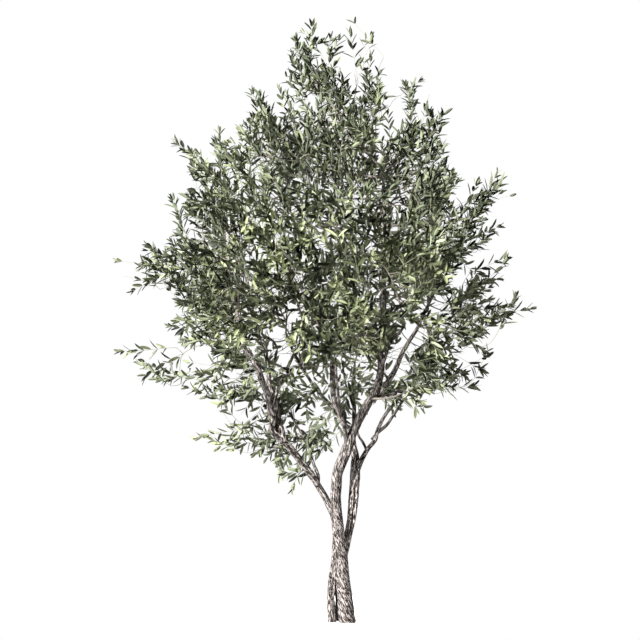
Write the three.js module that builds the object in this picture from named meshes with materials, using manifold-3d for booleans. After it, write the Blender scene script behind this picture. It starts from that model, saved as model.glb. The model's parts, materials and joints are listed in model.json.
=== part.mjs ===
// Olive tree: three stems twined about each other at the waist, the boughs that they fork into,
// and the masses of foliage that make up the crown.
// Millimetres, +Z up, +X to the right and +Y to the back as the tree is seen from its front.
// The origin is the middle of the front stem's flat cut, at ground level.

import * as THREE from "three";
import Module from "manifold-3d";
import { mergeVertices } from "three/addons/utils/BufferGeometryUtils.js";

const wasm = await Module();
wasm.setup();

// ---------------------------------------------------------------- driving dimensions

const TREE_HEIGHT = 4000; // ground to the highest spray
const GAP = 0.5; // clearance that is left where one solid is cut round another
const TRIM = 0.2; // slivers that a cut leaves are smoothed away within this distance

const LIMB_SIDES = 7;
const LIMB_STEP = 140; // spacing of a limb's rings along its length
const FLARE = 0.2; // how far the root flare widens a foot, as a share of its radius
const FLARE_RISE = 80; // height at which the flare has fallen to about a third
const FLARE_RIDGES = 4; // root ridges round a foot
const COLLAR = 0.35; // how far the collar widens a bough where it leaves its parent
const COLLAR_REACH = 45; // length over which the collar dies away

const BROAD_DETAIL = 2; // subdivision of the ball that each broad mass is shaped from
const SMALL_DETAIL = 1; // and of the small masses and those before and behind the middle
const MASS_EGG = 0.16; // how much wider a mass is towards its root than towards its tip
const MASS_LUMP = 0.21; // depth of the lumps and hollows, as a share of the girth

// Stems: the route of the pith from the ground up, the radius at the foot and at the top, and
// the swelling under the place where a bough leaves.
const STEMS = {
  stem_front: {
    route: [
      [0, 0, 0], [-27, -10, 240], [-45, -24, 520], [-78, -32, 790],
      [-70, -44, 940], [-27, -54, 1080], [40, -60, 1275], [155, -60, 1490],
    ],
    radius: [47, 27],
    swelling: { height: 1150, extra: 8, reach: 90 },
  },
  stem_left: {
    route: [
      [-106, 10, 0], [-113, 22, 190], [-74, 62, 480], [-84, 66, 680],
      [-215, 25, 935], [-400, -10, 1175], [-505, -30, 1365], [-565, -50, 1590], [-695, -30, 1930],
    ],
    radius: [24, 16],
    swelling: { height: 560, extra: 5, reach: 260 },
  },
  stem_back: {
    route: [
      [17, 72, 0], [8, 66, 190], [-22, 58, 400], [30, 44, 690], [50, 46, 960],
      [44, 78, 1165], [-20, 122, 1300], [-75, 160, 1410], [-120, 300, 1725],
    ],
    radius: [31, 16],
    swelling: { height: 890, extra: 14, reach: 190 },
  },
};

// Boughs: the limb and the height at which each one leaves, its radius at either end, its tip,
// and how far the middle of its way is bowed aside.
const BOUGHS = {
  leader: {
    from: "stem_front", height: 1478, radius: [26, 10],
    tip: [235, -10, 2990], bow: [42, 10, -150],
  },
  bough_front: {
    from: "stem_front", height: 1455, radius: [15, 9],
    tip: [360, -500, 1960], bow: [-30, -40, 0],
  },
  bough_right: {
    from: "leader", height: 1512, radius: [19, 9],
    tip: [575, -78, 2180], bow: [26, 0, -8],
  },
  bough_side: {
    from: "stem_front", height: 1455, radius: [10, 8],
    tip: [330, -110, 1535], bow: [10, 0, 14],
  },
  bough_slender: {
    from: "stem_front", height: 1165, radius: [14, 8],
    tip: [-85, -280, 1800], bow: [-14, -20, 0],
  },
  bough_left_inner: {
    from: "stem_left", height: 1215, radius: [18, 12],
    tip: [-605, 225, 1880], bow: [46, 10, 0],
  },
  bough_left_low: {
    from: "stem_left", height: 915, radius: [11, 7],
    tip: [-335, 140, 1400], bow: [10, 0, 0],
  },
  bough_left_fork: {
    from: "stem_left", height: 1390, radius: [12, 9],
    tip: [-310, -10, 1880], bow: [-6, 6, 0],
  },
  bough_right_low: {
    from: "stem_back", height: 990, radius: [18, 10],
    tip: [370, 35, 1520], bow: [-18, -12, 0],
  },
  bough_right_fork: {
    from: "bough_right_low", height: 1225, radius: [11, 8],
    tip: [470, 50, 1530], bow: [20, 0, -30],
  },
  bough_crossing: {
    from: "bough_right_low", height: 1140, radius: [8, 6],
    tip: [-40, 330, 1730], bow: [-16, 20, 10],
  },
  bough_back: {
    from: "stem_back", height: 1060, radius: [20, 11],
    tip: [60, 620, 1700], bow: [-10, 30, -60],
  },
  bough_back_left: {
    from: "stem_back", height: 1390, radius: [14, 9],
    tip: [-420, 560, 1900], bow: [-20, 40, -40],
  },
};

// Foliage masses: each is an egg whose broad end sits at its root, where the boughs carry it,
// and whose narrow end reaches its tip. The girth is its breadth as seen from the front, then
// its depth from front to back.
const BROAD_MASSES = {
  foliage_top_spire: { root: [-10, 80, 3300], tip: [-50, 60, TREE_HEIGHT], girth: [330, 400] },
  foliage_right_shoulder: { root: [360, 60, 2860], tip: [510, 40, 3590], girth: [500, 560] },
  foliage_left_shoulder: { root: [-400, 40, 2880], tip: [-610, 0, 3650], girth: [510, 580] },
  foliage_upper_left: { root: [-640, -80, 2600], tip: [-1120, -60, 3170], girth: [530, 560] },
  foliage_far_left: { root: [-680, -40, 2180], tip: [-1540, -100, 2380], girth: [500, 560] },
  foliage_left_spray: { root: [-600, -120, 1560], tip: [-1490, -220, 1770], girth: [380, 340] },
  foliage_far_right: { root: [560, -80, 2120], tip: [1190, -120, 2240], girth: [600, 560] },
  foliage_right_skirt: { root: [330, 60, 1530], tip: [970, 40, 1790], girth: [450, 440] },
};
const SMALL_MASSES = {
  foliage_right_crest: { root: [600, 60, 2340], tip: [1060, 120, 2960], girth: [400, 440] },
  foliage_top_right: { root: [90, -40, 3150], tip: [165, -120, 3920], girth: [310, 380] },
  foliage_top_left: { root: [-200, -60, 3240], tip: [-230, -120, 3960], girth: [420, 420] },
  foliage_right_upper: { root: [500, -60, 2600], tip: [830, -120, 3130], girth: [420, 420] },
  foliage_left_flank: { root: [-720, 150, 2440], tip: [-1290, 180, 2850], girth: [450, 500] },
  foliage_left_skirt: { root: [-640, 80, 1900], tip: [-1190, 60, 2040], girth: [460, 500] },
  foliage_bottom_left: { root: [-470, 60, 1330], tip: [-1010, -20, 1230], girth: [370, 380] },
  foliage_bottom_middle: { root: [-420, 0, 1190], tip: [-620, -20, 1040], girth: [190, 200] },
  foliage_bottom_spray: { root: [-255, 30, 1190], tip: [-390, -80, 830], girth: [210, 200] },
  foliage_right_flank: { root: [400, 80, 2160], tip: [690, 140, 2770], girth: [470, 520] },
  foliage_right_inner: { root: [310, -130, 1380], tip: [590, -240, 1880], girth: [320, 340] },
  foliage_left_inner: { root: [-260, -50, 1130], tip: [-20, -100, 1440], girth: [190, 200] },
  foliage_inner_low: { root: [-320, 240, 1250], tip: [-290, 270, 1760], girth: [380, 320] },
  foliage_heart: { root: [-110, 0, 2480], tip: [-160, 0, 3300], girth: [480, 440] },
  foliage_lap: { root: [-60, 0, 1650], tip: [-180, 0, 2520], girth: [560, 560] },
};

// Masses that come in pairs, one before the crown's middle plane and one behind it.
const MASS_PAIRS = {
  crown: { root: [-50, 180, 2840], tip: [-60, 480, 3450], girth: [600, 520] },
  upper_left: { root: [-420, 220, 2520], tip: [-650, 700, 3060], girth: [620, 580] },
  upper_right: { root: [250, 220, 2520], tip: [450, 720, 3060], girth: [600, 560] },
  middle: { root: [-120, 300, 2240], tip: [-170, 1180, 2740], girth: [660, 620] },
  middle_left: { root: [-540, 220, 2070], tip: [-920, 980, 2370], girth: [620, 580] },
  middle_right: { root: [310, 240, 2070], tip: [560, 990, 2420], girth: [600, 580] },
  low_left: { root: [-480, 180, 1680], tip: [-780, 860, 1880], girth: [500, 480] },
  low: { root: [-60, 260, 1730], tip: [-90, 1160, 2120], girth: [600, 540] },
  low_right: { root: [270, 200, 1690], tip: [540, 900, 1960], girth: [500, 480] },
};
const PAIR_SIDES = { front: -1, rear: 1 };

// ---------------------------------------------------------------- materials

const BARK = { color: 0x8b8480, roughness: 0.9, metalness: 0 };
const FOLIAGE = { color: 0x676a57, roughness: 0.75, metalness: 0 };

// ---------------------------------------------------------------- building functions

const DEPTH = new THREE.Vector3(0, 1, 0);
const GOLDEN_RATIO = (1 + Math.sqrt(5)) / 2;
const END_RING = 0.499; // corners of a unit cylinder beyond this height belong to its ends
const HALVINGS = 30; // steps of a search by halving

/** A copy of a three.js geometry that holds positions only, with its shared corners merged. */
function weld(geometry) {
  const copy = geometry.clone();
  copy.deleteAttribute("normal");
  copy.deleteAttribute("uv");
  return mergeVertices(copy);
}

/** The closed solid of a welded geometry. */
function toSolid(geometry) {
  const mesh = new wasm.Mesh({
    numProp: 3,
    vertProperties: new Float32Array(geometry.attributes.position.array),
    triVerts: new Uint32Array(geometry.index.array),
  });
  return new wasm.Manifold(mesh);
}

/** The three.js geometry of a solid. */
function toGeometry(solid) {
  const { vertProperties, triVerts } = solid.getMesh();
  const geometry = new THREE.BufferGeometry();
  geometry.setAttribute("position", new THREE.BufferAttribute(vertProperties, 3));
  geometry.setIndex(new THREE.BufferAttribute(triVerts, 1));
  geometry.computeVertexNormals();
  return geometry;
}

/** Moves every corner of a geometry to the place that the function gives for it. */
function reshape(geometry, place) {
  const corners = geometry.attributes.position;
  const corner = new THREE.Vector3();
  for (let i = 0; i < corners.count; i += 1) {
    corner.fromBufferAttribute(corners, i);
    const moved = place(corner);
    corners.setXYZ(i, moved.x, moved.y, moved.z);
  }
  return geometry;
}

/** The directions across and in depth, square to an axis, in which a section is laid out. */
function sectionFrame(axis) {
  const across = new THREE.Vector3().crossVectors(DEPTH, axis).normalize();
  const deep = new THREE.Vector3().crossVectors(across, axis);
  return { across, deep };
}

/** The smooth curve through a limb's waypoints. */
function limbCurve(route) {
  const points = route.map((point) => new THREE.Vector3(...point));
  return new THREE.CatmullRomCurve3(points, false, "centripetal");
}

/** The point of a rising limb at a height, found by halving. */
function pointAtHeight(curve, height) {
  let below = 0;
  let above = 1;
  for (let i = 0; i < HALVINGS; i += 1) {
    const middle = (below + above) / 2;
    if (curve.getPointAt(middle).z < height) {
      below = middle;
    } else {
      above = middle;
    }
  }
  return curve.getPointAt(below);
}

/**
 * A tapering round limb along a curve. radiusAt gives its radius from the pith's place, the angle
 * round it and the length along it; extra widens the limb and carries it past its ends.
 */
function limbGeometry(curve, radiusAt, extra) {
  const length = curve.getLength();
  const steps = Math.max(3, Math.round(length / LIMB_STEP));
  const stock = weld(new THREE.CylinderGeometry(1, 1, 1, LIMB_SIDES, steps));
  return reshape(stock, (corner) => {
    const share = corner.y + 0.5;
    const centre = curve.getPointAt(share);
    const axis = curve.getTangentAt(share);
    const { across, deep } = sectionFrame(axis);
    const angle = Math.atan2(corner.z, corner.x);
    const radius = radiusAt(centre, angle, share * length) + extra;
    const pastEnd = Math.abs(corner.y) > END_RING ? Math.sign(corner.y) * extra : 0;
    return centre
      .addScaledVector(across, corner.x * radius)
      .addScaledVector(deep, corner.z * radius)
      .addScaledVector(axis, pastEnd);
  });
}

/** A stem: root ridges at its foot, a swelling below its fork and a flat cut at the ground. */
function stemGeometry({ route, radius, swelling }, extra) {
  const curve = limbCurve(route);
  const [foot, top] = radius;
  const length = curve.getLength();
  const radiusAt = (centre, angle, along) => {
    const taper = foot + ((top - foot) * along) / length;
    const ridges = 0.6 + 0.4 * Math.cos(FLARE_RIDGES * angle);
    const flare = FLARE * ridges * Math.exp(-along / FLARE_RISE);
    const rise = (centre.z - swelling.height) / swelling.reach;
    return taper * (1 + flare) + swelling.extra * Math.exp(-rise * rise);
  };
  const geometry = limbGeometry(curve, radiusAt, extra);
  const footRise = LIMB_STEP / 2;
  return reshape(geometry, (corner) => {
    if (corner.z < footRise) {
      corner.z = -extra;
    }
    return corner;
  });
}

/** A bough: it springs from its parent's pith, widened by a collar, and bows on its way out. */
function boughGeometry({ from, height, tip, bow, radius }, extra) {
  const start = pointAtHeight(curves.get(from), height);
  const end = new THREE.Vector3(...tip);
  const middle = start.clone().add(end).multiplyScalar(0.5).add(new THREE.Vector3(...bow));
  const curve = limbCurve([start.toArray(), middle.toArray(), tip]);
  const length = curve.getLength();
  const [thick, thin] = radius;
  const radiusAt = (centre, angle, along) => {
    const taper = thick + ((thin - thick) * along) / length;
    return taper * (1 + COLLAR * Math.exp(-along / COLLAR_REACH));
  };
  return { curve, geometry: limbGeometry(curve, radiusAt, extra) };
}

/** The ball that masses are shaped from, turned so that a corner lies at either pole. */
function foliageBall(detail) {
  const ball = weld(new THREE.IcosahedronGeometry(1, detail));
  return ball.rotateZ(-Math.atan(1 / GOLDEN_RATIO));
}

/** How far a mass swells or sinks, from -1 to 1, at a place on the unit ball. */
function unevenness(corner, seed) {
  const round = Math.sin(3.1 * corner.x + 2.3 * seed) * Math.sin(2.7 * corner.z + 1.7 * seed);
  const lengthwise = Math.sin(4.3 * corner.y + 3.7 * corner.x + seed);
  return 0.62 * round + 0.38 * lengthwise;
}

/** An uneven egg of foliage from its root to its tip; the seed shifts where its lumps fall. */
function massGeometry({ root, tip, girth, detail }, seed, extra) {
  const start = new THREE.Vector3(...root);
  const end = new THREE.Vector3(...tip);
  const axis = end.clone().sub(start);
  const halfLength = axis.length() / 2 + extra;
  const centre = start.add(end).multiplyScalar(0.5);
  axis.normalize();
  const { across, deep } = sectionFrame(axis);
  const [breadth, depth] = girth;
  return reshape(foliageBall(detail), (corner) => {
    const wide = (1 + MASS_LUMP * unevenness(corner, seed)) * (1 - MASS_EGG * corner.y);
    return centre
      .clone()
      .addScaledVector(axis, corner.y * halfLength)
      .addScaledVector(across, corner.x * ((wide * breadth) / 2 + extra))
      .addScaledVector(deep, corner.z * ((wide * depth) / 2 + extra));
  });
}

/** Whether two boxes come within reach of each other. */
function boxesMeet(one, other) {
  return [0, 1, 2].every((i) => one.min[i] <= other.max[i] && one.max[i] >= other.min[i]);
}

// ---------------------------------------------------------------- assembly

const tree = new THREE.Group();
const curves = new Map();
const cutters = [];

/** Cuts a solid round all that stand already, keeps its main body and adds it to the tree. */
function plant(name, geometry, cutter, finish) {
  let solid = toSolid(geometry);
  const reach = solid.boundingBox();
  for (const standing of cutters) {
    if (boxesMeet(reach, standing.box)) {
      solid = solid.subtract(standing.solid);
    }
  }
  const bodies = solid.simplify(TRIM).decompose();
  const main = bodies.reduce((best, body) => (body.volume() > best.volume() ? body : best));
  const mesh = new THREE.Mesh(toGeometry(main), new THREE.MeshStandardMaterial(finish));
  mesh.name = name;
  tree.add(mesh);
  const swollen = toSolid(cutter);
  cutters.push({ solid: swollen, box: swollen.boundingBox() });
}

for (const [name, stem] of Object.entries(STEMS)) {
  curves.set(name, limbCurve(stem.route));
  plant(name, stemGeometry(stem, 0), stemGeometry(stem, GAP), BARK);
}

for (const [name, bough] of Object.entries(BOUGHS)) {
  const { curve, geometry } = boughGeometry(bough, 0);
  curves.set(name, curve);
  plant(name, geometry, boughGeometry(bough, GAP).geometry, BARK);
}

const masses = [];
for (const [name, mass] of Object.entries(BROAD_MASSES)) {
  masses.push([name, { ...mass, detail: BROAD_DETAIL }]);
}
for (const [name, mass] of Object.entries(SMALL_MASSES)) {
  masses.push([name, { ...mass, detail: SMALL_DETAIL }]);
}
for (const [place, pair] of Object.entries(MASS_PAIRS)) {
  for (const [side, sign] of Object.entries(PAIR_SIDES)) {
    const [root, tip] = [pair.root, pair.tip].map(([x, y, z]) => [x, y * sign, z]);
    masses.push([`foliage_${place}_${side}`, { root, tip, girth: pair.girth, detail: SMALL_DETAIL }]);
  }
}
masses.forEach(([name, mass], seed) => {
  plant(name, massGeometry(mass, seed, 0), massGeometry(mass, seed, GAP), FOLIAGE);
});

export default tree;
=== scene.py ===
"""A young many-stemmed olive tree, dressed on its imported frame.

The stems and boughs get a mesh with the relief of their bark. From them a seeded branching rule
grows the finer wood into the foliage masses, and each growing tip ends in a leafy shoot.
"""

import json
import logging
import math
from dataclasses import dataclass, field
from enum import Enum
from typing import Any

import bmesh
import bpy
import numpy as np
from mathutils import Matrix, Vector
from mathutils.bvhtree import BVHTree

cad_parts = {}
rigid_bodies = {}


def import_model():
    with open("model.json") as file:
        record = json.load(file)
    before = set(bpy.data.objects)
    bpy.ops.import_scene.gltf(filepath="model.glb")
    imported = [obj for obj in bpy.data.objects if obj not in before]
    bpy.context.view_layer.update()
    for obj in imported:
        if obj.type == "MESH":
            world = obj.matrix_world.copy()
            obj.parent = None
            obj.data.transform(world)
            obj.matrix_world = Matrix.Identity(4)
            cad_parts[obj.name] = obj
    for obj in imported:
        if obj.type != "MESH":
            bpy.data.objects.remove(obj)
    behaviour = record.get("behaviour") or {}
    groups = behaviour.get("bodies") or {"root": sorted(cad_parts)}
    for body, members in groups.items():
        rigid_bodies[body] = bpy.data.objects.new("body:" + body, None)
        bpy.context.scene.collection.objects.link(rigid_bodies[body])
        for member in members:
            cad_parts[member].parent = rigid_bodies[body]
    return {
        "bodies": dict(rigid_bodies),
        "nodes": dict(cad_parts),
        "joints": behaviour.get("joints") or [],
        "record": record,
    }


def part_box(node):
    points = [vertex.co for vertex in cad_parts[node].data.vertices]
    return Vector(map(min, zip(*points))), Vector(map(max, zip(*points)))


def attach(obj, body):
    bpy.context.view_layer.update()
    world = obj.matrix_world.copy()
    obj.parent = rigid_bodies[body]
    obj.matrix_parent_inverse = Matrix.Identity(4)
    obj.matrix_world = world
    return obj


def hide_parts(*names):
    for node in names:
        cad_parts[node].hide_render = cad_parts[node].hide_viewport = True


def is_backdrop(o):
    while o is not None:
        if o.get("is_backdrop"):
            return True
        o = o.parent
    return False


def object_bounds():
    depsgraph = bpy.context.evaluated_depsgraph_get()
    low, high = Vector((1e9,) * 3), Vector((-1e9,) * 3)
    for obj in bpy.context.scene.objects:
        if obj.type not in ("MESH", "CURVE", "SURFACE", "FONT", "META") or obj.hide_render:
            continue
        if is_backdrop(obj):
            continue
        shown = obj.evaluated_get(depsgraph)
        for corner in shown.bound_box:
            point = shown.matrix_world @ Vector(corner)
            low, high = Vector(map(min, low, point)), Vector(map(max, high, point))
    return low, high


LOG = logging.getLogger("olive_tree")
SEED = 58
BODY = "root"
UP = np.array([0.0, 0.0, 1.0])
FRONT_VIEW = (-0.182, -11.77, 2.001)  # where the tree is looked at from
NEARLY_ALIGNED = 0.2  # below this cross product a line runs too close to an axis to be framed by it
SEED_STEP = 10000  # places that differ by a tenth of a millimetre get random numbers of their own
WHITE = (1.0, 1.0, 1.0, 1.0)
Array = np.ndarray
Dice = np.random.Generator
Finish = bpy.types.Material
Nodes = dict[str, bpy.types.Object]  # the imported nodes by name
Pair = tuple[float, float]
Place = tuple[float, float, float]


# --- Small helpers ---


def linear(colour: str) -> tuple[float, float, float, float]:
    """Turns an sRGB hex colour into linear light.

    Args:
        colour: Six hex digits after a hash sign.

    Returns:
        Red, green, blue and a full alpha.
    """
    parts = [int(colour[i : i + 2], 16) / 255 for i in (1, 3, 5)]
    red, green, blue = (c / 12.92 if c <= 0.04045 else ((c + 0.055) / 1.055) ** 2.4 for c in parts)
    return red, green, blue, 1.0


def add_node(
    tree: bpy.types.NodeTree, kind: str, feeds: dict[str | int, Any] | None = None, **settings: Any
) -> bpy.types.Node:
    """Adds one node with its settings and links.

    Args:
        tree: The node tree that it goes into.
        kind: The node's type name.
        feeds: For each input, by name or number, a value or the output that feeds it.
        **settings: The node's own properties; stops is a colour ramp's list of (place, colour).

    Returns:
        The new node.
    """
    node = tree.nodes.new(kind)
    stops = settings.pop("stops", None)
    for name, value in settings.items():
        setattr(node, name, value)
    if stops:
        ramp = node.color_ramp
        while len(ramp.elements) < len(stops):
            ramp.elements.new(0.5)
        for element, (place, colour) in zip(ramp.elements, stops):
            element.position, element.color = place, colour
    for socket, value in (feeds or {}).items():
        if isinstance(value, bpy.types.NodeSocket):
            tree.links.new(value, node.inputs[socket])
        else:
            node.inputs[socket].default_value = value
    return node


def unit(vectors: Array) -> Array:
    """Scales a vector, or each row of an array, to length one."""
    return vectors / np.maximum(np.linalg.norm(vectors, axis=-1, keepdims=True), 1e-9)


def ease(values: Array, low: float, high: float) -> Array:
    """Rises smoothly from 0 at low to 1 at high."""
    share = np.clip((values - low) / (high - low), 0.0, 1.0)
    return share * share * (3 - 2 * share)


def node_triangles(node: bpy.types.Object) -> Array:
    """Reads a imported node's triangles.

    Args:
        node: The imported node, a mesh of loose triangles.

    Returns:
        Their corners, one row of three points for each triangle.
    """
    mesh = node.data
    mesh.calc_loop_triangles()
    corners = np.empty(len(mesh.vertices) * 3)
    mesh.vertices.foreach_get("co", corners)
    index = np.empty(len(mesh.loop_triangles) * 3, np.int32)
    mesh.loop_triangles.foreach_get("vertices", index)
    return corners.reshape(-1, 3)[index].reshape(-1, 3, 3)


def walls_of(triangles: Array) -> BVHTree:
    """Prepares triangles, a row of three corners each, for the search of what is near or behind."""
    corners = triangles.reshape(-1, 3)
    return BVHTree.FromPolygons(corners.tolist(), np.arange(len(corners)).reshape(-1, 3).tolist())


def tube_frames(points: Array) -> tuple[Array, Array, Array]:
    """Carries a square frame along a line of points without letting it spin.

    Args:
        points: The line, one point a row.

    Returns:
        The direction of the line and two directions across it, at each point.
    """
    along = unit(np.gradient(points, axis=0))
    across = np.empty_like(along)
    start = np.cross(along[0], (0.0, 1.0, 0.0))
    if np.linalg.norm(start) < NEARLY_ALIGNED:
        start = np.cross(along[0], (1.0, 0.0, 0.0))
    across[0] = unit(start)
    for i in range(1, len(points)):
        carried = across[i - 1] - along[i] * (across[i - 1] @ along[i])
        across[i] = unit(carried)
    return along, across, np.cross(along, across)


def lengths_along(line: Array) -> Array:
    """Gives how far along a line each of its points is."""
    return np.concatenate(([0.0], np.cumsum(np.linalg.norm(np.diff(line, axis=0), axis=1))))


def resample(points: Array, values: Array, spacing: float) -> tuple[Array, Array]:
    """Lays new points along a line at an even spacing.

    Args:
        points: The line, one point a row.
        values: A number for each point, such as its radius.
        spacing: About how far apart the new points are, in metres.

    Returns:
        The new points and their numbers.
    """
    at = lengths_along(points)
    places = np.linspace(0.0, at[-1], max(2, int(round(at[-1] / spacing)) + 1))
    line = np.stack([np.interp(places, at, points[:, k]) for k in range(3)], axis=1)
    return line, np.interp(places, at, values)


def smoothed(values: Array, rounds: int) -> Array:
    """Evens out a line of numbers or points, keeping both of its ends.

    Args:
        values: The numbers, or the points one a row.
        rounds: How many times they are evened out.

    Returns:
        The new line.
    """
    result = values.copy()
    for _ in range(rounds):
        result[1:-1] = 0.5 * result[1:-1] + 0.25 * (result[:-2] + result[2:])
    return result


def dice_for(*numbers: float) -> Dice:
    """Starts the random numbers that belong to a place, the same whatever is built before it.

    Args:
        *numbers: The place, or anything else that tells it from the others.

    Returns:
        The random numbers.
    """
    return np.random.default_rng([SEED] + [round(abs(number) * SEED_STEP) for number in numbers])


def seen_from_front(places: Array) -> Array:
    """Carries places along the lines of sight of the front view.

    Args:
        places: The places, one a row.

    Returns:
        How far right and how high each shows against the upright plane of the trunk.
    """
    aside, distance, eye = FRONT_VIEW
    scale = distance / (distance - places[:, 1])
    return np.stack(
        (aside + (places[:, 0] - aside) * scale, eye + (places[:, 2] - eye) * scale), axis=1
    )


def new_piece(
    name: str, mesh: bpy.types.Mesh, stands_for: tuple[str, ...] = ()
) -> bpy.types.Object:
    """Puts a finished mesh into the scene as a piece of the tree.

    Args:
        name: The piece's name.
        mesh: Its mesh, already in place.
        stands_for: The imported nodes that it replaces.

    Returns:
        The piece.
    """
    piece = bpy.data.objects.new(name, mesh)
    bpy.context.scene.collection.objects.link(piece)
    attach(piece, BODY)
    if stands_for:
        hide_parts(*stands_for)
    LOG.info("%s: %d faces", name, len(mesh.polygons))
    return piece


# --- Finishes ---


@dataclass(frozen=True)
class OliveBark:
    """Old olive bark: pale warm grey plates, split lengthwise by narrow brown-black cracks."""

    name: str = "olive_bark"
    plate_pale: str = "#b9b1ad"
    plate_grey: str = "#7f7671"
    plate_brown: str = "#403733"
    crack: str = "#171311"
    roughness: float = 0.86
    # Breadth and length of a fibre of bark. Real ones are about 1 mm broad, too fine to show.
    fibre_mm: Pair = (4.0, 30.0)
    mottle_mm: float = 70.0
    streak_places: tuple[float, ...] = (0.44, 0.485, 0.53, 0.585)  # where crack to pale plate lie
    patch_places: Pair = (0.36, 0.62)  # where the mottling is darkest and palest
    patch_shade: tuple[float, ...] = (0.80, 0.78, 0.76, 1.0)
    crack_relief: Pair = (0.25, 0.92)  # the relief of a crack and of a clean plate
    fibre_height: float = 0.0016
    gloss_range: Pair = (0.1, 0.08)  # how much duller and glossier it gets in places
    specular: float = 0.3

    def material(self) -> Finish:
        """Builds the material.

        Returns:
            The material, which reads the grain and relief that each limb's mesh carries.
        """
        material, tree = bare_material(self.name)
        grain = add_node(tree, "ShaderNodeAttribute", attribute_name="grain").outputs["Vector"]
        relief = add_node(tree, "ShaderNodeAttribute", attribute_name="relief").outputs["Fac"]
        # Lengthwise fibres give the fine pale and dark streaks that follow each limb.
        across, along = (1000.0 / size for size in self.fibre_mm)
        stretch = {"Vector": grain, "Scale": (across, across, along)}
        place = add_node(tree, "ShaderNodeMapping", stretch).outputs[0]
        fine = {"Vector": place, "Scale": 1.0, "Detail": 2.0, "Roughness": 0.5}
        fibre = add_node(tree, "ShaderNodeTexNoise", fine).outputs["Fac"]
        broad = {"Vector": grain, "Scale": 1000.0 / self.mottle_mm, "Detail": 2.0}
        mottle = add_node(tree, "ShaderNodeTexNoise", broad).outputs["Fac"]
        colours = (self.crack, self.plate_brown, self.plate_grey, self.plate_pale)
        stops = list(zip(self.streak_places, map(linear, colours)))
        streaks = add_node(tree, "ShaderNodeValToRGB", {"Fac": fibre}, stops=stops)
        stops = list(zip(self.patch_places, (self.patch_shade, WHITE)))
        patches = add_node(tree, "ShaderNodeValToRGB", {"Fac": mottle}, stops=stops)
        weathered = add_node(
            tree,
            "ShaderNodeMix",
            {0: 1.0, 6: streaks.outputs["Color"], 7: patches.outputs["Color"]},
            data_type="RGBA",
            blend_type="MULTIPLY",
        )
        # A low relief turns to the crack colour: in the cracks, and as painted shade in the hollows
        # of furrows and knots.
        low, high = self.crack_relief
        rise = {"Value": relief, "From Min": low, "From Max": high}
        depth = add_node(tree, "ShaderNodeMapRange", rise)
        mix = {0: depth.outputs[0], 6: linear(self.crack), 7: weathered.outputs[2]}
        colour = add_node(tree, "ShaderNodeMix", mix, data_type="RGBA")
        raised = {"Strength": 0.7, "Distance": self.fibre_height, "Height": fibre}
        bump = add_node(tree, "ShaderNodeBump", raised)
        duller, glossier = self.gloss_range
        gloss = {
            "Value": fibre,
            "From Min": 0.3,
            "From Max": 0.7,
            "To Min": min(1.0, self.roughness + duller),
            "To Max": self.roughness - glossier,
        }
        dull = add_node(tree, "ShaderNodeMapRange", gloss)
        surface = {
            "Base Color": colour.outputs[2],
            "Roughness": dull.outputs[0],
            "Normal": bump.outputs[0],
            "Specular IOR Level": self.specular,
        }
        shader = add_node(tree, "ShaderNodeBsdfPrincipled", surface)
        add_node(tree, "ShaderNodeOutputMaterial", {"Surface": shader.outputs[0]})
        return material


@dataclass(frozen=True)
class TwigBark:
    """Smooth bark of young wood: one plain colour, with the faint pits of its pores in the bump."""

    name: str
    colour: str
    roughness: float
    pore_mm: float = 4.0  # real pores are under 1 mm, too fine to show
    pore_depth: float = 0.0006
    specular: float = 0.35

    def material(self) -> Finish:
        """Builds the material."""
        return plain_material(self, self.pore_mm, self.pore_depth)


@dataclass(frozen=True)
class LeafSkin:
    """One side of an olive leaf: leathery and glossy above, or felted and silvery beneath."""

    name: str
    colour: str
    roughness: float
    specular: float
    vein_mm: float = 9.0  # the gaps between real veins are about 2 mm, too fine to show
    vein_depth: float = 0.0004

    def material(self) -> Finish:
        """Builds the material."""
        return plain_material(self, self.vein_mm, self.vein_depth)


def bare_material(name: str) -> tuple[Finish, bpy.types.NodeTree]:
    """Starts a material that has no nodes yet.

    Args:
        name: The material's name.

    Returns:
        The material and its node tree.
    """
    material = bpy.data.materials.new(name)
    material.use_nodes = True
    material.node_tree.nodes.clear()
    return material, material.node_tree


def plain_material(finish: TwigBark | LeafSkin, grain_mm: float, depth: float) -> Finish:
    """Builds a material of one base colour whose gloss and bump vary over a fine grain.

    Args:
        finish: The finish that gives its name, colour, roughness and specular level.
        grain_mm: The size of the grain.
        depth: The height of the grain's bump, in metres.

    Returns:
        The material.
    """
    material, tree = bare_material(finish.name)
    place = add_node(tree, "ShaderNodeTexCoord").outputs["Object"]
    pattern = {"Vector": place, "Scale": 1000.0 / grain_mm, "Detail": 1.0}
    grain = add_node(tree, "ShaderNodeTexNoise", pattern).outputs["Fac"]
    spread = {
        "Value": grain,
        "From Min": 0.3,
        "From Max": 0.7,
        "To Min": finish.roughness - 0.07,
        "To Max": min(1.0, finish.roughness + 0.07),
    }
    gloss = add_node(tree, "ShaderNodeMapRange", spread)
    bump = add_node(tree, "ShaderNodeBump", {"Strength": 0.4, "Distance": depth, "Height": grain})
    surface = {
        "Base Color": linear(finish.colour),
        "Roughness": gloss.outputs[0],
        "Normal": bump.outputs[0],
        "Specular IOR Level": finish.specular,
    }
    shader = add_node(tree, "ShaderNodeBsdfPrincipled", surface)
    add_node(tree, "ShaderNodeOutputMaterial", {"Surface": shader.outputs[0]})
    return material


# The bark of the stem at the back and of the low bough that it bears on the right: the same kind of
# bark painted paler, with less brown in its cracks, as painted light for limbs in the front stem's
# shade.
PAINTED_LIGHT_BARK = OliveBark("olive_bark_painted_light", "#dcd5d1", "#a79d97", "#5d5048", "#1d1816")
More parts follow.
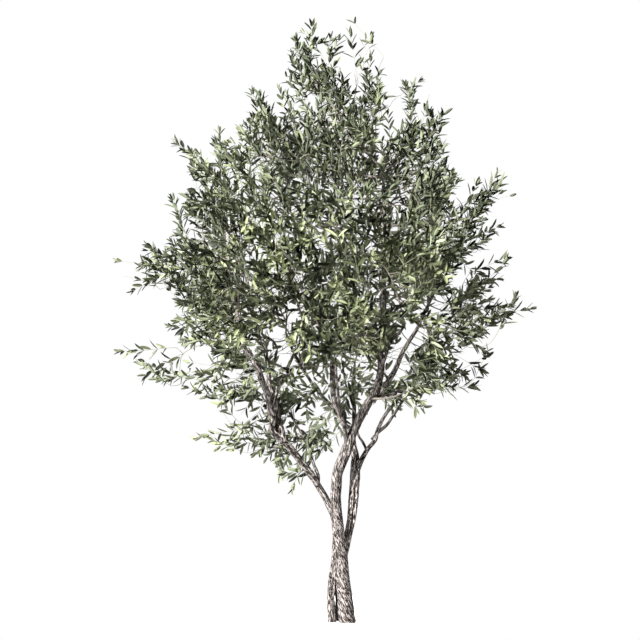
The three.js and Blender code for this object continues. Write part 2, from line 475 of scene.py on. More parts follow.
# Wood from two to four years old down to this year's shoots: greyer and rougher with age.
TWIG_BARKS = (
    TwigBark("olive_twig_old_grey", "#857c75", 0.8),
    TwigBark("olive_twig_grey", "#80786e", 0.74),
    TwigBark("olive_shoot_green_grey", "#8b8a72", 0.66),
)
# The upper skin has a thick waxy cuticle, so it is a deep grey-green with a soft highlight.
UPPER_SKINS = (
    LeafSkin("olive_leaf_upper_shade", "#1d2116", 0.4, 0.4),
    LeafSkin("olive_leaf_upper_deep", "#2f3422", 0.38, 0.45),
    LeafSkin("olive_leaf_upper_mid", "#474d33", 0.38, 0.45),
    LeafSkin("olive_leaf_upper_sage", "#646a4e", 0.4, 0.45),
    LeafSkin("olive_leaf_upper_pale", "#828866", 0.42, 0.4),
    LeafSkin("olive_leaf_upper_young", "#959b76", 0.42, 0.4),
)
# The underside is felted with fine hairs, which scatter the light into a matt silvery grey.
UNDER_SKINS = (
    LeafSkin("olive_leaf_felt_grey", "#6b725c", 0.8, 0.2),
    LeafSkin("olive_leaf_felt_sage", "#848b6f", 0.8, 0.2),
    LeafSkin("olive_leaf_felt_silver", "#9ca187", 0.8, 0.2),
)


# --- Limbs ---


class LatticeNoise:
    """Smooth seeded noise in space, worked out for many points at once."""

    STRIDES = (73856093, 19349663, 83492791)  # large primes scatter the cells over the heights
    COUNT = 4096

    def __init__(self, seed: int) -> None:
        """Draws the random heights of the lattice from a seed."""
        self.heights = np.random.default_rng(seed).random(self.COUNT)

    def at(self, points: Array) -> Array:
        """Gives the noise at each point.

        Args:
            points: The places, one a row, in lattice cells.

        Returns:
            Numbers from 0 to 1.
        """
        cell = np.floor(points).astype(np.int64)
        share = points - cell
        share = share * share * (3 - 2 * share)
        total = np.zeros(len(points))
        for corner in np.ndindex(2, 2, 2):
            key = np.bitwise_xor.reduce((cell + corner) * self.STRIDES, axis=1)
            weight = np.prod(np.where(np.array(corner) == 1, share, 1 - share), axis=1)
            total += weight * self.heights[key & (self.COUNT - 1)]
        return total


def degrees_off(facing: Array, way: float) -> Array:
    """Gives how far each direction round a limb is from one of them, from -180 to 180."""
    return (facing - way + 180) % 360 - 180


@dataclass(frozen=True)
class Knot:
    """A healed branch stub: a low swollen ring round a hollow darkened with painted shade."""

    height: float
    facing: float  # degrees round the limb, from the front towards the right
    breadth: float
    depth: float = 0.004
    flatness: float = 0.8  # its breadth round the limb as a share of its height
    ring: float = 1.1  # how far from its middle the ring is, in breadths, and how high
    pit: float = 1.5  # how deep the hollow is
    shade: float = 1.4  # how much painted shade darkens the hollow

    def marks(self, facing: Array, height: Array, radius: Array) -> tuple[Array, Array]:
        """Works out what the knot does to the bark.

        Args:
            facing: The way that each corner of the bark faces, in degrees.
            height: Its height above the ground.
            radius: The limb's radius there.

        Returns:
            How far each corner is lifted, and how much painted shade darkens it.
        """
        off = np.radians(degrees_off(facing, self.facing)) * radius
        gap = np.hypot(off, (height - self.height) * self.flatness) / self.breadth
        ring, pit = np.exp(-((gap - self.ring) ** 2) / 0.2), np.exp(-(gap**2) / 0.3)
        lift = self.depth * (self.ring * ring - self.pit * pit)
        # Painted shade, deepest in the middle of the hollow.
        return lift, self.shade * np.exp(-(gap**2) / 0.35)


@dataclass(frozen=True)
class Furrow:
    """A lengthwise hollow between two strands of a stem with painted shade in it, or with a depth
    below zero a ridge.
    """

    low: float
    high: float
    facing: float  # degrees round the limb, from the front towards the right
    breadth: float  # in degrees too
    depth: float
    fade: float = 0.05  # how far it runs out at each end, in metres
    shade: float = 0.7  # how much painted shade darkens a hollow

    def marks(self, facing: Array, height: Array) -> tuple[Array, Array]:
        """Works out what the furrow does to the bark.

        Args:
            facing: The way that each corner of the bark faces, in degrees.
            height: Its height above the ground.

        Returns:
            How far each corner is lifted, and how much painted shade darkens it.
        """
        span = ease(height, self.low - self.fade, self.low + self.fade)
        span *= 1 - ease(height, self.high - self.fade, self.high + self.fade)
        hollow = span * np.exp(-((degrees_off(facing, self.facing) / self.breadth) ** 2))
        # A hollow gets painted shade; a ridge gets none.
        return -self.depth * hollow, self.shade * hollow * (self.depth > 0)


@dataclass(frozen=True)
class Bend:
    """A kink in a limb: it is carried sideways by its full shift at one height only."""

    height: float
    shift: float  # towards the right, in metres
    reach: float = 0.07  # how far above and below the kink fades out


@dataclass
class Pith:
    """The middle line of a limb from its root to its tip, with the limb's radius at each point."""

    points: Array
    radii: Array
    skin: BVHTree

    STEP = 0.015  # how far apart the cuts across the limb are, in metres
    FIRST_RADIUS = 0.06  # the thickest that a limb is in its middle
    MOST_CUTS = 400
    LIKELY_CHANGE = (0.72, 1.5)  # a cut outside these shares of the last few isn't across the limb
    FEWEST_SIDES = 5  # a cut with fewer sides than this only grazes the limb
    FACET_LOSS = 1.03  # a faceted limb's sides lie this much nearer the pith than its round bark

    @classmethod
    def of_node(cls, node: bpy.types.Object) -> "Pith":
        """Follows a packed limb both ways from its middle by cutting it across again and again.

        Args:
            node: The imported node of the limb.

        Returns:
            The limb's middle line, from the thick end to the thin one.
        """
        corners = node_triangles(node)
        cloud = corners.reshape(-1, 3)
        # The first cuts, from the limb's middle height, find its centre and its heading.
        centre, radius = cloud[np.argsort(cloud[:, 2])[len(cloud) // 2]], cls.FIRST_RADIUS
        near = cloud[np.linalg.norm(cloud - centre, axis=1) < 0.2]
        heading = np.linalg.svd(near - near.mean(axis=0), full_matrices=False)[2][0]
        for _ in range(6):
            cut = cls._cut(corners, centre, heading, radius * 3)
            if cut is None:
                break
            ahead = cls._cut(corners, cut[0] + heading * cls.STEP, heading, cut[1] * 3)
            centre, radius = cut
            if ahead is not None:
                heading = unit(ahead[0] - cut[0])
        down, up = (cls._follow(corners, centre, radius, heading * way) for way in (-1.0, 1.0))
        points, radii = (np.array(low[:0:-1] + high) for low, high in zip(down, up))
        if radii[:4].mean() < radii[-4:].mean():
            points, radii = points[::-1], radii[::-1]
        return cls(smoothed(points, 6), smoothed(radii, 4), walls_of(corners))

    @classmethod
    def _follow(
        cls, corners: Array, start: Array, radius: float, course: Array
    ) -> tuple[list[Array], list[float]]:
        """Follows a limb one way until its cuts stop looking like the ones before.

        Args:
            corners: The limb's triangles.
            start: The middle of the first cut.
            radius: The radius there.
            course: The direction in which the limb runs there.

        Returns:
            The middles of the cuts and their radii.
        """
        line, sizes = [start], [radius]
        least, most = cls.LIKELY_CHANGE
        while len(line) < cls.MOST_CUTS:
            cut = cls._cut(corners, line[-1] + course * cls.STEP, course, sizes[-1] * 2.2)
            usual = float(np.median(sizes[-4:]))
            if cut is None or not least * usual < cut[1] < most * usual:
                break
            if np.linalg.norm(cut[0] - line[-1] - course * cls.STEP) > 0.3 * usual + 0.003:
                break
            course = unit(course + 0.8 * unit(cut[0] - line[-1]))
            line.append(cut[0])
            sizes.append(cut[1])
        return line, sizes

    @classmethod
    def _cut(
        cls, corners: Array, place: Array, normal: Array, reach: float
    ) -> tuple[Array, float] | None:
        """Cuts a limb across near a place.

        Args:
            corners: The limb's triangles.
            place: Where the cut goes through.
            normal: The direction that the cut is square to.
            reach: How far from the place the limb's skin can be.

        Returns:
            The middle of the cut and its mean radius, or nothing where the cut misses the limb.
        """
        side = (corners - place) @ normal
        ends: list[list[Array]] = [[] for _ in range(len(corners))]
        for one, two in ((0, 1), (1, 2), (2, 0)):
            crossed = (side[:, one] > 0) != (side[:, two] > 0)
            share = side[crossed, one] / (side[crossed, one] - side[crossed, two])
            start, stop = corners[crossed, one], corners[crossed, two]
            spots = start + (stop - start) * share[:, None]
            for triangle, spot in zip(np.flatnonzero(crossed), spots):
                ends[triangle].append(spot)
        sides = np.array([pair for pair in ends if len(pair) == 2]).reshape(-1, 2, 3)
        sides = sides[np.linalg.norm(sides.mean(axis=1) - place, axis=1) < reach]
        if len(sides) < cls.FEWEST_SIDES:
            return None
        middles = sides.mean(axis=1)
        lengths = np.linalg.norm(sides[:, 0] - sides[:, 1], axis=1)
        centre = (middles * lengths[:, None]).sum(axis=0) / lengths.sum()
        radius = (np.linalg.norm(middles - centre, axis=1) * lengths).sum() / lengths.sum()
        return centre, float(radius) * cls.FACET_LOSS


@dataclass
class Limb:
    """A stem or bough with its bark: a grid rolled round the pith and pushed into relief."""

    node: str
    twist: float = 1.4  # how the grain winds round the limb, in radians for each metre
    flute: float = 0.07  # how deep the lengthwise hollows are, as a share of the radius
    fullness: float = 1.05  # how far the bark stands out to the corners of the faceted limb
    buried: float = 0.03  # how far the root end runs on into its parent
    is_stem: bool = False
    knots: tuple[Knot, ...] = ()
    furrows: tuple[Furrow, ...] = ()
    bends: tuple[Bend, ...] = ()
    wander: float = 0.010  # how far a bough strays from a smooth line, in metres
    shown: float = 0.0  # the height up to which few leaves hang in front of it
    painted_light: bool = False  # whether its bark is the paler copy, painted light for a limb that stands in shade
    wander_length: float = 0.13  # how far a bough runs on before it strays another way
    cell: float = 0.0034  # spacing of the mesh round the thickest part
    row: float = 0.0062  # spacing of the mesh along the limb
    plate: Pair = (0.0085, 0.046)  # breadth and length of a plate of bark
    crack: float = 0.0030  # depth of the cracks between the plates
    split: Pair = (0.55, 0.6)  # breadth and length of the finer plates, against those of the rest
    swelling: Pair = (0.09, 0.11)  # how high its swellings are, in radii, and how far apart
    directions: int = 28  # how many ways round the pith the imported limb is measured
    skin_range: Pair = (0.45, 2.2)  # how near and how far its skin can be, in mean radii
    stride: int = 3  # how many rows of the mesh lie between one measuring and the next
    pith: Pith = field(init=False)

    def survey(self, nodes: Nodes) -> None:
        """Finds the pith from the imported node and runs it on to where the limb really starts.

        Args:
            nodes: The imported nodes.
        """
        pith = Pith.of_node(nodes[self.node])
        low, high = (np.array(corner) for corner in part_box(self.node))
        first, last = pith.points[0], pith.points[-1]
        start = unit(first - pith.points[3])
        run = self.buried
        if self.is_stem:
            # A stem runs on to a centimetre below the ground.
            run = max(0.0, first[2] - low[2]) / max(0.2, -start[2]) + 0.01
        finish = unit(last - pith.points[-4])
        # The last cut is a little short of the tip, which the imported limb's box shows.
        gap = np.min(np.where(finish > 0, high - last, last - low) / np.abs(finish))
        tip = last + finish * min(max(gap, 0.004), 0.02)
        radii = np.concatenate(([pith.radii[0] * (1.0 + 0.4 * run)], pith.radii, [pith.radii[-1]]))
        self.pith = Pith(np.vstack((first + start * run, pith.points, tip)), radii, pith.skin)

    def bent(self, line: Array) -> Array:
        """Carries the smooth middle line through the limb's kinks and small wanderings.

        Args:
            line: The line, one point a row.

        Returns:
            The bent line.
        """
        run = lengths_along(line)
        shifts = np.zeros_like(line)
        for bend in self.bends:
            shifts[:, 0] += bend.shift * np.exp(-(((line[:, 2] - bend.height) / bend.reach) ** 2))
        if not self.is_stem:
            noise = LatticeNoise(SEED + sum(map(ord, self.node)))
            places = np.stack((run / self.wander_length, run * 0 + 0.3, run * 0 + 0.7), axis=1)
            stray = np.stack((noise.at(places), noise.at(places + 40.0)), axis=1) - 0.5
            shifts[:, :2] += stray * 2 * self.wander * ease(run, 0.0, 0.12)[:, None]
        return line + shifts

    def points_every(self, spacing: float) -> tuple[Array, Array]:
        """Gives points along the bent middle of the limb at a spacing, and its radius at each."""
        return resample(self.bent(self.pith.points), self.pith.radii, spacing)

    def build(self, bark: Finish) -> bpy.types.Object:
        """Makes the limb's piece.

        Args:
            bark: The material of the old bark.

        Returns:
            The piece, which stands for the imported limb.
        """
        line, radii = resample(self.pith.points, self.pith.radii, self.row)
        line = smoothed(line, 8)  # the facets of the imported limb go
        sides = int(np.clip(2 * math.pi * radii.max() / self.cell, 16, 96))
        model = bmesh.new()
        bmesh.ops.create_grid(model, x_segments=sides, y_segments=len(line) - 1, size=0.5)
        mesh = bpy.data.meshes.new(self.node + "_bark")
        model.to_mesh(mesh)
        flat = np.empty(len(mesh.vertices) * 3)
        mesh.vertices.foreach_get("co", flat)
        flat = flat.reshape(-1, 3)
        turn = (flat[:, 0] + 0.5) * 2 * math.pi
        rank = np.rint((flat[:, 1] + 0.5) * (len(line) - 1)).astype(int)
        places, grain, relief = self._roll(line, radii, rank, turn)
        mesh.vertices.foreach_set("co", places.ravel())
        attribute = mesh.attributes.new("grain", "FLOAT_VECTOR", "POINT")
        attribute.data.foreach_set("vector", grain.ravel())
        mesh.attributes.new("relief", "FLOAT", "POINT").data.foreach_set("value", relief)
        model.clear()
        model.from_mesh(mesh)
        bmesh.ops.remove_doubles(model, verts=model.verts, dist=1e-5)
        if self.is_stem:
            everything = model.verts[:] + model.edges[:] + model.faces[:]
            bmesh.ops.bisect_plane(
                model, geom=everything, plane_co=(0, 0, 0), plane_no=(0, 0, 1), clear_inner=True
            )
        bmesh.ops.holes_fill(model, edges=[e for e in model.edges if e.is_boundary], sides=0)
        bmesh.ops.recalc_face_normals(model, faces=model.faces)
        for face in model.faces:
            face.smooth = len(face.verts) < 8  # the flat ends have more corners than that
        model.to_mesh(mesh)
        model.free()
        mesh.materials.append(bark)
        return new_piece("bark_" + self.node, mesh, (self.node,))

    def _girths(self, line: Array, radii: Array, across: Array, deep: Array) -> Array:
        """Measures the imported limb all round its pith, so that its flare and flats carry over.

        Args:
            line: The pith's points.
            radii: The limb's mean radius at each point.
            across: One direction across the limb at each point.
            deep: The other direction across it.

        Returns:
            The distance to the skin all round at each point, evened out.
        """
        count = self.directions
        turns = np.arange(count) * 2 * math.pi / count
        rows = np.arange(0, len(line), self.stride)
        found = np.repeat(radii[rows][:, None], count, axis=1)
        nearest, farthest = self.skin_range
        # A ray that meets the skin at once has left through the flat foot or from beside the limb,
        # and one that goes far has missed it. There the stem keeps its girth from the row above.
        for i in reversed(range(len(rows))):
            row = rows[i]
            if i + 1 < len(rows) and self.is_stem:
                found[i] = found[i + 1]
            for j, turn in enumerate(turns):
                ray = across[row] * math.cos(turn) + deep[row] * math.sin(turn)
                most = radii[row] * farthest
                gap = self.pith.skin.ray_cast(Vector(line[row]), Vector(ray), most)[3]
                if gap is not None and gap > radii[row] * nearest and line[row][2] > 0.004:
                    found[i, j] = gap
        for _ in range(2 if self.is_stem else 7):
            found = 0.5 * found + 0.25 * (np.roll(found, 1, axis=1) + np.roll(found, -1, axis=1))
        found = smoothed(found, 2) * self.fullness
        every = np.arange(len(line))
        return np.stack([np.interp(every, rows, column) for column in found.T], axis=1)

    @staticmethod
    def _cracks(noise: LatticeNoise, places: Array, aside: Array, width: float) -> Array:
        """Finds how far each place is in a lengthwise crack, from 0 to 1.

        Args:
            noise: The noise that the cracks follow.
            places: The places, in its cells.
            aside: A small step round the limb at each place, in its cells.
            width: How near the noise's middle value a crack reaches.

        Returns:
            The depth at each place.
        """
        here, left, right = (noise.at(places + aside * way) for way in (0.0, -1.0, 1.0))
        return np.exp(-(((here - 0.5) / width) ** 2)) * ease(np.abs(right - left), 0.03, 0.16)

    def _roll(
        self, line: Array, radii: Array, rank: Array, turn: Array
    ) -> tuple[Array, Array, Array]:
        """Rolls the grid round the pith and works out its relief.

        Args:
            line: The pith's points.
            radii: The limb's radius at each point.
            rank: For each corner of the grid, its row along the pith.
            turn: For each corner, its angle round the pith.

        Returns:
            For each corner its place, its place in the straightened limb, and its height in the
            relief from 0 in a crack to 1 on a plate, lowered further by the painted shade of
            furrows and knots.
        """
        _, across, deep = tube_frames(line)
        girths = self._girths(line, radii, across, deep)
        line = self.bent(line)
        _, across, deep = tube_frames(line)
        length = lengths_along(line)
        along, radius = length[rank], radii[rank]
        spot = turn / (2 * math.pi) * self.directions
        before = np.floor(spot).astype(int)
        share = spot - before
        before %= self.directions
        after = (before + 1) % self.directions
        reach_in = girths[rank, before] * (1 - share) + girths[rank, after] * share
        wound = turn + self.twist * along
        # The straightened limb keeps one radius, so the bark's plates stay the same size on it.
        girth = max(0.012, float(np.median(radii)))
        own = sum(map(ord, self.node)) * 0.37  # sets this limb's bark apart from the others'
        grain = np.stack((girth * np.cos(wound), girth * np.sin(wound), along + own), axis=1)
        lift, relief = self._bark(grain, wound, along, radius, own)
        outward = across[rank] * np.cos(turn)[:, None] + deep[rank] * np.sin(turn)[:, None]
        facing = np.degrees(np.arctan2(outward[:, 0], -outward[:, 1]))
        height = line[rank][:, 2]
        # Furrows and knots lift or sink the bark, and their painted shade lowers the relief, which
        # the bark material turns towards the crack colour.
        marks = [furrow.marks(facing, height) for furrow in self.furrows]
        marks += [knot.marks(facing, height, radius) for knot in self.knots]
        for rise, shade in marks:
            lift += rise
            relief -= shade
        slim = 1.0 - 0.45 * (1 - ease(length[-1] - along, 0.0, 0.05))  # rounds off the tip
        reach_out = reach_in * slim + lift * slim
        places = line[rank] + outward * reach_out[:, None]
        return places, grain, np.clip(relief, 0.0, 1.0)

    def _bark(
        self, grain: Array, wound: Array, along: Array, radius: Array, own: float
    ) -> tuple[Array, Array]:
        """Works out the cracks, the finer splits, the lengthwise hollows and the swellings.

        Args:
            grain: Each corner's place in the straightened limb.
            wound: Its angle round the pith, turned with the grain.
            along: How far along the limb it is.
            radius: The limb's radius there.
            own: The number that sets this limb's bark apart.

        Returns:
            How far each corner stands out, and its height in the relief.
        """
        noise = LatticeNoise(SEED + len(self.node))
        breadth, reach = self.plate
        bend = noise.at(grain / (0.05, 0.05, 0.16)) - 0.5
        warped = grain + np.stack((bend, -bend, bend * 2.0), axis=1) * 0.02
        # A crack runs where the noise crosses its middle while it changes round the limb, so that
        # the cracks follow the grain and never close across it.
        aside = np.stack((-np.sin(wound), np.cos(wound), wound * 0), axis=1) * breadth * 0.2
        finer, shorter = self.split  # the splits follow another part of the same noise
        cracks, splits = (
            self._cracks(noise, warped / size + shift, aside / size, width)
            for size, shift, width in (
                ((breadth, breadth, reach), 0.0, 0.10),
                ((breadth * finer, breadth * finer, reach * shorter), 31.7, 0.13),
            )
        )
        plates = noise.at(warped / (breadth * finer, breadth * finer, reach * 0.5) + 31.7)
        depth = self.crack * np.clip(radius / 0.03, 0.14, 1.15)
        lift = -depth * cracks - 0.45 * depth * splits + 0.5 * depth * (plates - 0.5)
        # The hollows between the strands of the wood run lengthwise, and the swellings across.
        around = np.stack((np.cos(wound) * 1.5, np.sin(wound) * 1.5, along / 0.5), 1)
        hollows = np.abs(noise.at(around + own) - 0.5) * 2.0
        lift += radius * self.flute * (ease(hollows, 0.0, 0.5) - 0.6) * 1.6
        high, apart = self.swelling
        swell = noise.at(np.stack((along * 0 + own, along * 0, along / apart), 1)) - 0.5
        lift += radius * high * swell
        return lift, 1.0 - 0.7 * cracks - 0.4 * splits


# --- Crown ---


class Region(Enum):
    """The parts of the crown that are joined apart, with the foliage masses each stands for."""

    TOP = ("top_spire", "top_left", "top_right", "crown_front", "crown_rear")
    UPPER_LEFT = (
        "left_shoulder",
        "upper_left",
        "upper_left_front",
        "upper_left_rear",
        "left_flank",
    )
    UPPER_RIGHT = (
        "right_shoulder",
        "right_upper",
        "right_crest",
        "upper_right_front",
        "upper_right_rear",
    )
    LEFT = ("far_left", "left_skirt", "middle_left_front", "middle_left_rear")
    RIGHT = ("far_right", "right_flank", "middle_right_front", "middle_right_rear")
    HEART = ("heart", "lap", "middle_front", "middle_rear")
    LOW_LEFT = ("left_spray", "bottom_left", "bottom_middle", "low_left_front", "low_left_rear")
    LOW_RIGHT = ("right_skirt", "right_inner", "low_right_front", "low_right_rear")
    LOW = ("low_front", "low_rear", "inner_low", "left_inner", "bottom_spray")


@dataclass
class Mass:
    """One packed foliage mass, as a vessel that shoots are placed in."""

    place: str
    region: Region
    corners: Array
    walls: BVHTree = field(init=False)

    def __post_init__(self) -> None:
        """Prepares the search for its nearest wall."""
        self.walls = walls_of(self.corners)

    def volume(self) -> float:
        """Gives the volume that its walls close in, in cubic metres."""
        a, b, c = self.corners.swapaxes(0, 1)
        return float(np.einsum("ij,ij->i", a, np.cross(b, c)).sum() / 6)

    def outer_skin(self, middle: Array) -> Array:
        """Finds the triangles whose outer side faces away from the middle of the crown.

        Args:
            middle: The middle of the crown.

        Returns:
            Their corners.
        """
        a, b, c = self.corners.swapaxes(0, 1)
        outward = unit(self.corners.mean(axis=1) - middle)
        facing = np.einsum("ij,ij->i", unit(np.cross(b - a, c - a)), outward)
        return self.corners[facing > 0.25]

    @staticmethod
    def spot_on(chance: Dice, skin: Array) -> Array:
        """Picks a place on the skin, each as likely as any other.

        Args:
            chance: The random numbers.
            skin: The triangles of the skin.

        Returns:
            The place.
        """
        sides = skin[:, 1] - skin[:, 0], skin[:, 2] - skin[:, 0]
        areas = np.linalg.norm(np.cross(*sides), axis=1)
        pick = int(chance.choice(len(skin), p=areas / areas.sum()))
        first, second = sorted(chance.random(2))
        return skin[pick, 0] + sides[0][pick] * first + sides[1][pick] * (1 - second)


def within(walls: BVHTree, place: Array, slack: float) -> bool:
    """Says whether a place is inside closed walls, or outside them by less than the slack."""
    spot, normal, _, distance = walls.find_nearest(Vector(place))
    return (Vector(place) - spot).dot(normal) < 0 or distance < slack


@dataclass(frozen=True)
class Patch:
    """A round part of the crown as it is seen from the front."""

    right: float
    height: float
    radius: float

    def gap(self, seen: list[float]) -> float:
        """Gives how far from its middle something shows that is seen at a place."""
        return math.hypot(seen[0] - self.right, seen[1] - self.height)


@dataclass(frozen=True)
class Opening(Patch):
    """A patch where the sky shows through the crown from its front to its back."""

    share: float = 1.0  # how much of the foliage is missing there

    def clears(self, seen: list[float]) -> bool:
        """Says whether something that is seen at this place is in the opening."""
        return self.gap(seen) < self.radius


@dataclass(frozen=True)
class Tone(Patch):
    """A patch of painted light, where the leaves are paler than the rest, or of painted shade,
    where they are deeper; less so towards its rim.
    """

    steps: float  # how many tints paler, or deeper where it is less than nought
    fade: Pair = (0.6, 1.3)  # where the steps start to fade and where they are gone, in radii

    def at(self, seen: list[float]) -> float:
        """Gives the steps at a place seen from the front."""
        return self.steps * (1 - float(ease(np.array(self.gap(seen) / self.radius), *self.fade)))


@dataclass(frozen=True)
class Spray(Patch):
    """A cluster of shoots that fills the crown out in one place, or stands out of it."""

    count: int
    depth: float = -0.05  # towards the back, in metres


@dataclass(frozen=True)
class SideBough:
    """A short thin bough that leaves a limb and bears foliage at its tip."""

    limb: str
    height: float
    reach: Place  # from the middle of the limb to its tip
    radius: float
    region: Region

    def line(self, limbs: tuple[Limb, ...]) -> tuple[Array, Array]:
        """Draws it from the middle of its limb to its tip, with a slight sag and a slight taper.

        Args:
            limbs: The surveyed limbs.

        Returns:
            The points of its line, and its radius at each.
        """
        limb = next(limb for limb in limbs if limb.node == self.limb)
        pith = limb.bent(limb.pith.points)
        start = pith[np.argmin(np.abs(pith[:, 2] - self.height))]
        share = np.linspace(0.0, 1.0, 9)
        sag = np.outer(share * (share - 1), UP * 0.05)
        return start + np.outer(share, self.reach) + sag, self.radius * (1 - 0.4 * share)


@dataclass
class Outlook:
    """The stretches of the limbs that are seen from the front past the leaves before them."""

    spots: Array  # how far right and how high each spot on them shows
    depths: Array
    reaches: Array

    MARGIN = 0.018  # how wide a gap the leaves leave beside a limb, in metres

    @classmethod
    def on_limbs(cls, limbs: tuple[Limb, ...], side_boughs: tuple[SideBough, ...]) -> "Outlook":
        """Finds the shown stretches.

        Args:
            limbs: The surveyed limbs.
            side_boughs: The short boughs, which are shown whole.

        Returns:
            The outlook.
        """
        shown = [bough.line(limbs) for bough in side_boughs]
        for limb in limbs:
            line, radii = limb.points_every(0.02)
            seen = line[:, 2] < limb.shown
            shown.append((line[seen], radii[seen]))
        line = np.concatenate([points for points, _ in shown])
        reaches = np.concatenate([radii for _, radii in shown]) + cls.MARGIN
        return cls(seen_from_front(line), line[:, 1], reaches)

    def hidden_by(self, place: Array) -> bool:
        """Says whether a leaf at a place would hide a shown stretch."""
        gaps = np.linalg.norm(self.spots - seen_from_front(place[None]), axis=1)
        return bool(np.any((gaps < self.reaches) & (self.depths > place[1])))


@dataclass
class Shoot:
    """A leafy shoot: where it is, where it points and how its leaves are lit."""

    middle: Array
    heading: Array
    length: float
    region: Region
    outward: Array = field(init=False)  # the way out of the crown, which its leaves face
    light: float = 0.0  # how much daylight it gets, from 0 in the shade to 1
    anchor: int = -1  # the point of the wood that bears it

    @property
    def base(self) -> Array:
        """The place where it starts."""
        return self.middle - self.heading * self.length * 0.5


@dataclass
class Wood:
    """The finer wood: a tree of points, each with its parent and its radius."""

    places: Array
    parents: Array
    radii: Array
    rooted: int  # how many of the first points are on the limbs


@dataclass
class Crown:
    """The seeded rule that fills the masses with shoots and grows the wood towards them."""

    density: dict[str, float]
    openings: tuple[Opening, ...]
    sprays: tuple[Spray, ...]
    side_boughs: tuple[SideBough, ...]
    middle: Place = (-0.12, 0.0, 1.8)  # shoots point away from it
    daylight: Place = (-0.62, -0.49, 0.61)  # where most of the light is from
    shades: tuple[float, ...] = (0.1, 0.22, 0.4)  # how far that way foliage shades a shoot
    per_cubic_metre: float = 340.0  # how many shoots
    tries: int = 60  # how many places are tried for each shoot wanted
    skin_share: float = 0.5  # the share of shoots whose tips are set on the skin of the masses
    shoot_length: Pair = (0.20, 0.38)
    shoot_radius: float = 0.0014
    scatter: float = 0.6  # how far shoots turn from the way straight out of the crown
    lift: Pair = (0.08, 0.4)  # how far they rise, and how much more at the top
    lift_heights: Pair = (1.4, 3.2)  # where that begins and where it is reached
    least_outward: float = 0.15  # how far out of the crown a shoot points at the least
    slack: float = 0.03  # how far outside its mass a shoot's middle may be
    shrinks: tuple[float, ...] = (1.0, 0.8, 0.62)  # the shares of its length that are tried
    overhang: Pair = (0.04, 0.015)  # how far its base and its tip may stand out of the foliage
    spray_length: float = 0.85  # how long a shoot of a spray is, against the others
    spacing: float = 0.07  # how near two shoots of one mass may be, middle to middle
    free_height: float = 0.85  # below this no finer wood leaves a limb
    stem_top: float = 0.45  # how much of a stem, from its top, finer wood leaves
    step: float = 0.042  # how far wood grows at a time
    most_steps: int = 150
    kill: float = 0.05  # how near to a shoot wood stops, and bears it
    momentum: float = 0.25  # how much of its old course wood keeps
    stray: float = 0.08  # how far each step turns at random
    root_gap: float = 0.045  # from one point of a limb that wood can leave to the next
    offshoot: float = 0.8  # the most that wood that leaves a limb has of the limb's radius
    pipe: float = 2.35  # the power of their radii by which twigs add up to their branch
    airy_height: float = 2.1  # above this no wood shows outside the foliage
    bare_height: float = 1.5  # above this no thin wood runs far across an opening
    bare_run: int = 2  # the most points in a row that such wood has in openings
    thin_load: int = 5  # wood that bears fewer shoots than this is thin
    masses: list[Mass] = field(default_factory=list)
    shoots: list[Shoot] = field(default_factory=list)
    union: BVHTree | None = None  # the walls of all the masses

    def fill(self, nodes: Nodes) -> None:
        """Fills every mass with shoots, and adds the sprays.

        Args:
            nodes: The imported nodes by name.
        """
        for region in Region:
            for place in region.value:
                corners = node_triangles(nodes["foliage_" + place])
                self.masses.append(Mass(place, region, corners))
        self.union = walls_of(np.concatenate([mass.corners for mass in self.masses]))
        for number, mass in enumerate(self.masses):
            self._fill_mass(dice_for(number), mass)
        for spray in self.sprays:
            self._add_spray(dice_for(spray.right, spray.height), spray)

    def _fill_mass(self, chance: Dice, mass: Mass) -> None:
        """Places shoots, evenly but not in rows, inside a mass.

        Args:
            chance: The random numbers.
            mass: The mass.
        """
        wanted = self.per_cubic_metre * mass.volume() * self.density.get(mass.place, 1.0)
        placed: list[Array] = []
        low, high = mass.corners.min(axis=(0, 1)), mass.corners.max(axis=(0, 1))
        skin = mass.outer_skin(np.array(self.middle))
        for _ in range(int(wanted * self.tries)):
            if len(placed) >= wanted:
                break
            length = chance.uniform(*self.shoot_length)
            if len(placed) < wanted * self.skin_share and len(skin):
                tip = mass.spot_on(chance, skin)
                heading = self._aim(chance, tip)
                middle = tip - heading * (length * 0.5 + self.slack)
            else:
                middle = chance.uniform(low, high)
                heading = self._aim(chance, middle)
                if not within(mass.walls, middle, self.slack):
                    continue
            gaps = np.linalg.norm(np.array(placed).reshape(-1, 3) - middle, axis=1)
            if len(gaps) and gaps.min() < self.spacing:
                continue
            shoot = Shoot(middle, heading, length, mass.region)
            if self._leaves_open(chance, shoot) and self._fits(shoot):
                placed.append(middle)
                self._add(shoot)

    def _add_spray(self, chance: Dice, spray: Spray) -> None:
        """Adds the shoots of a spray, in the region of the mass nearest to it.

        Args:
            chance: The random numbers.
            spray: The spray.
        """
        centre = np.array((spray.right, spray.depth, spray.height))
        nearest = min(self.masses, key=lambda mass: mass.walls.find_nearest(Vector(centre))[3])
        for _ in range(spray.count):
            reach = spray.radius * chance.random() ** 0.4
            middle = centre + unit(chance.normal(0, 1, 3) * (1.0, 1.6, 1.0)) * reach
            length = self.spray_length * chance.uniform(*self.shoot_length)
            shoot = Shoot(middle, self._aim(chance, middle), length, nearest.region)
            if self._leaves_open(chance, shoot):
                self._add(shoot)

    def _aim(self, chance: Dice, place: Array) -> Array:
        """Points a shoot out of the crown and rather level, and upwards high in the crown.

        Args:
            chance: The random numbers.
            place: Where the shoot is.

        Returns:
            The direction.
        """
        outward = unit((place - np.array(self.middle)) * (1.0, 1.0, 0.5))
        least, more = self.lift
        lift = least + more * float(ease(np.array(place[2]), *self.lift_heights))
        while True:
            heading = unit(outward + UP * lift + chance.normal(0, self.scatter, 3))
            if heading @ outward > self.least_outward:
                return heading

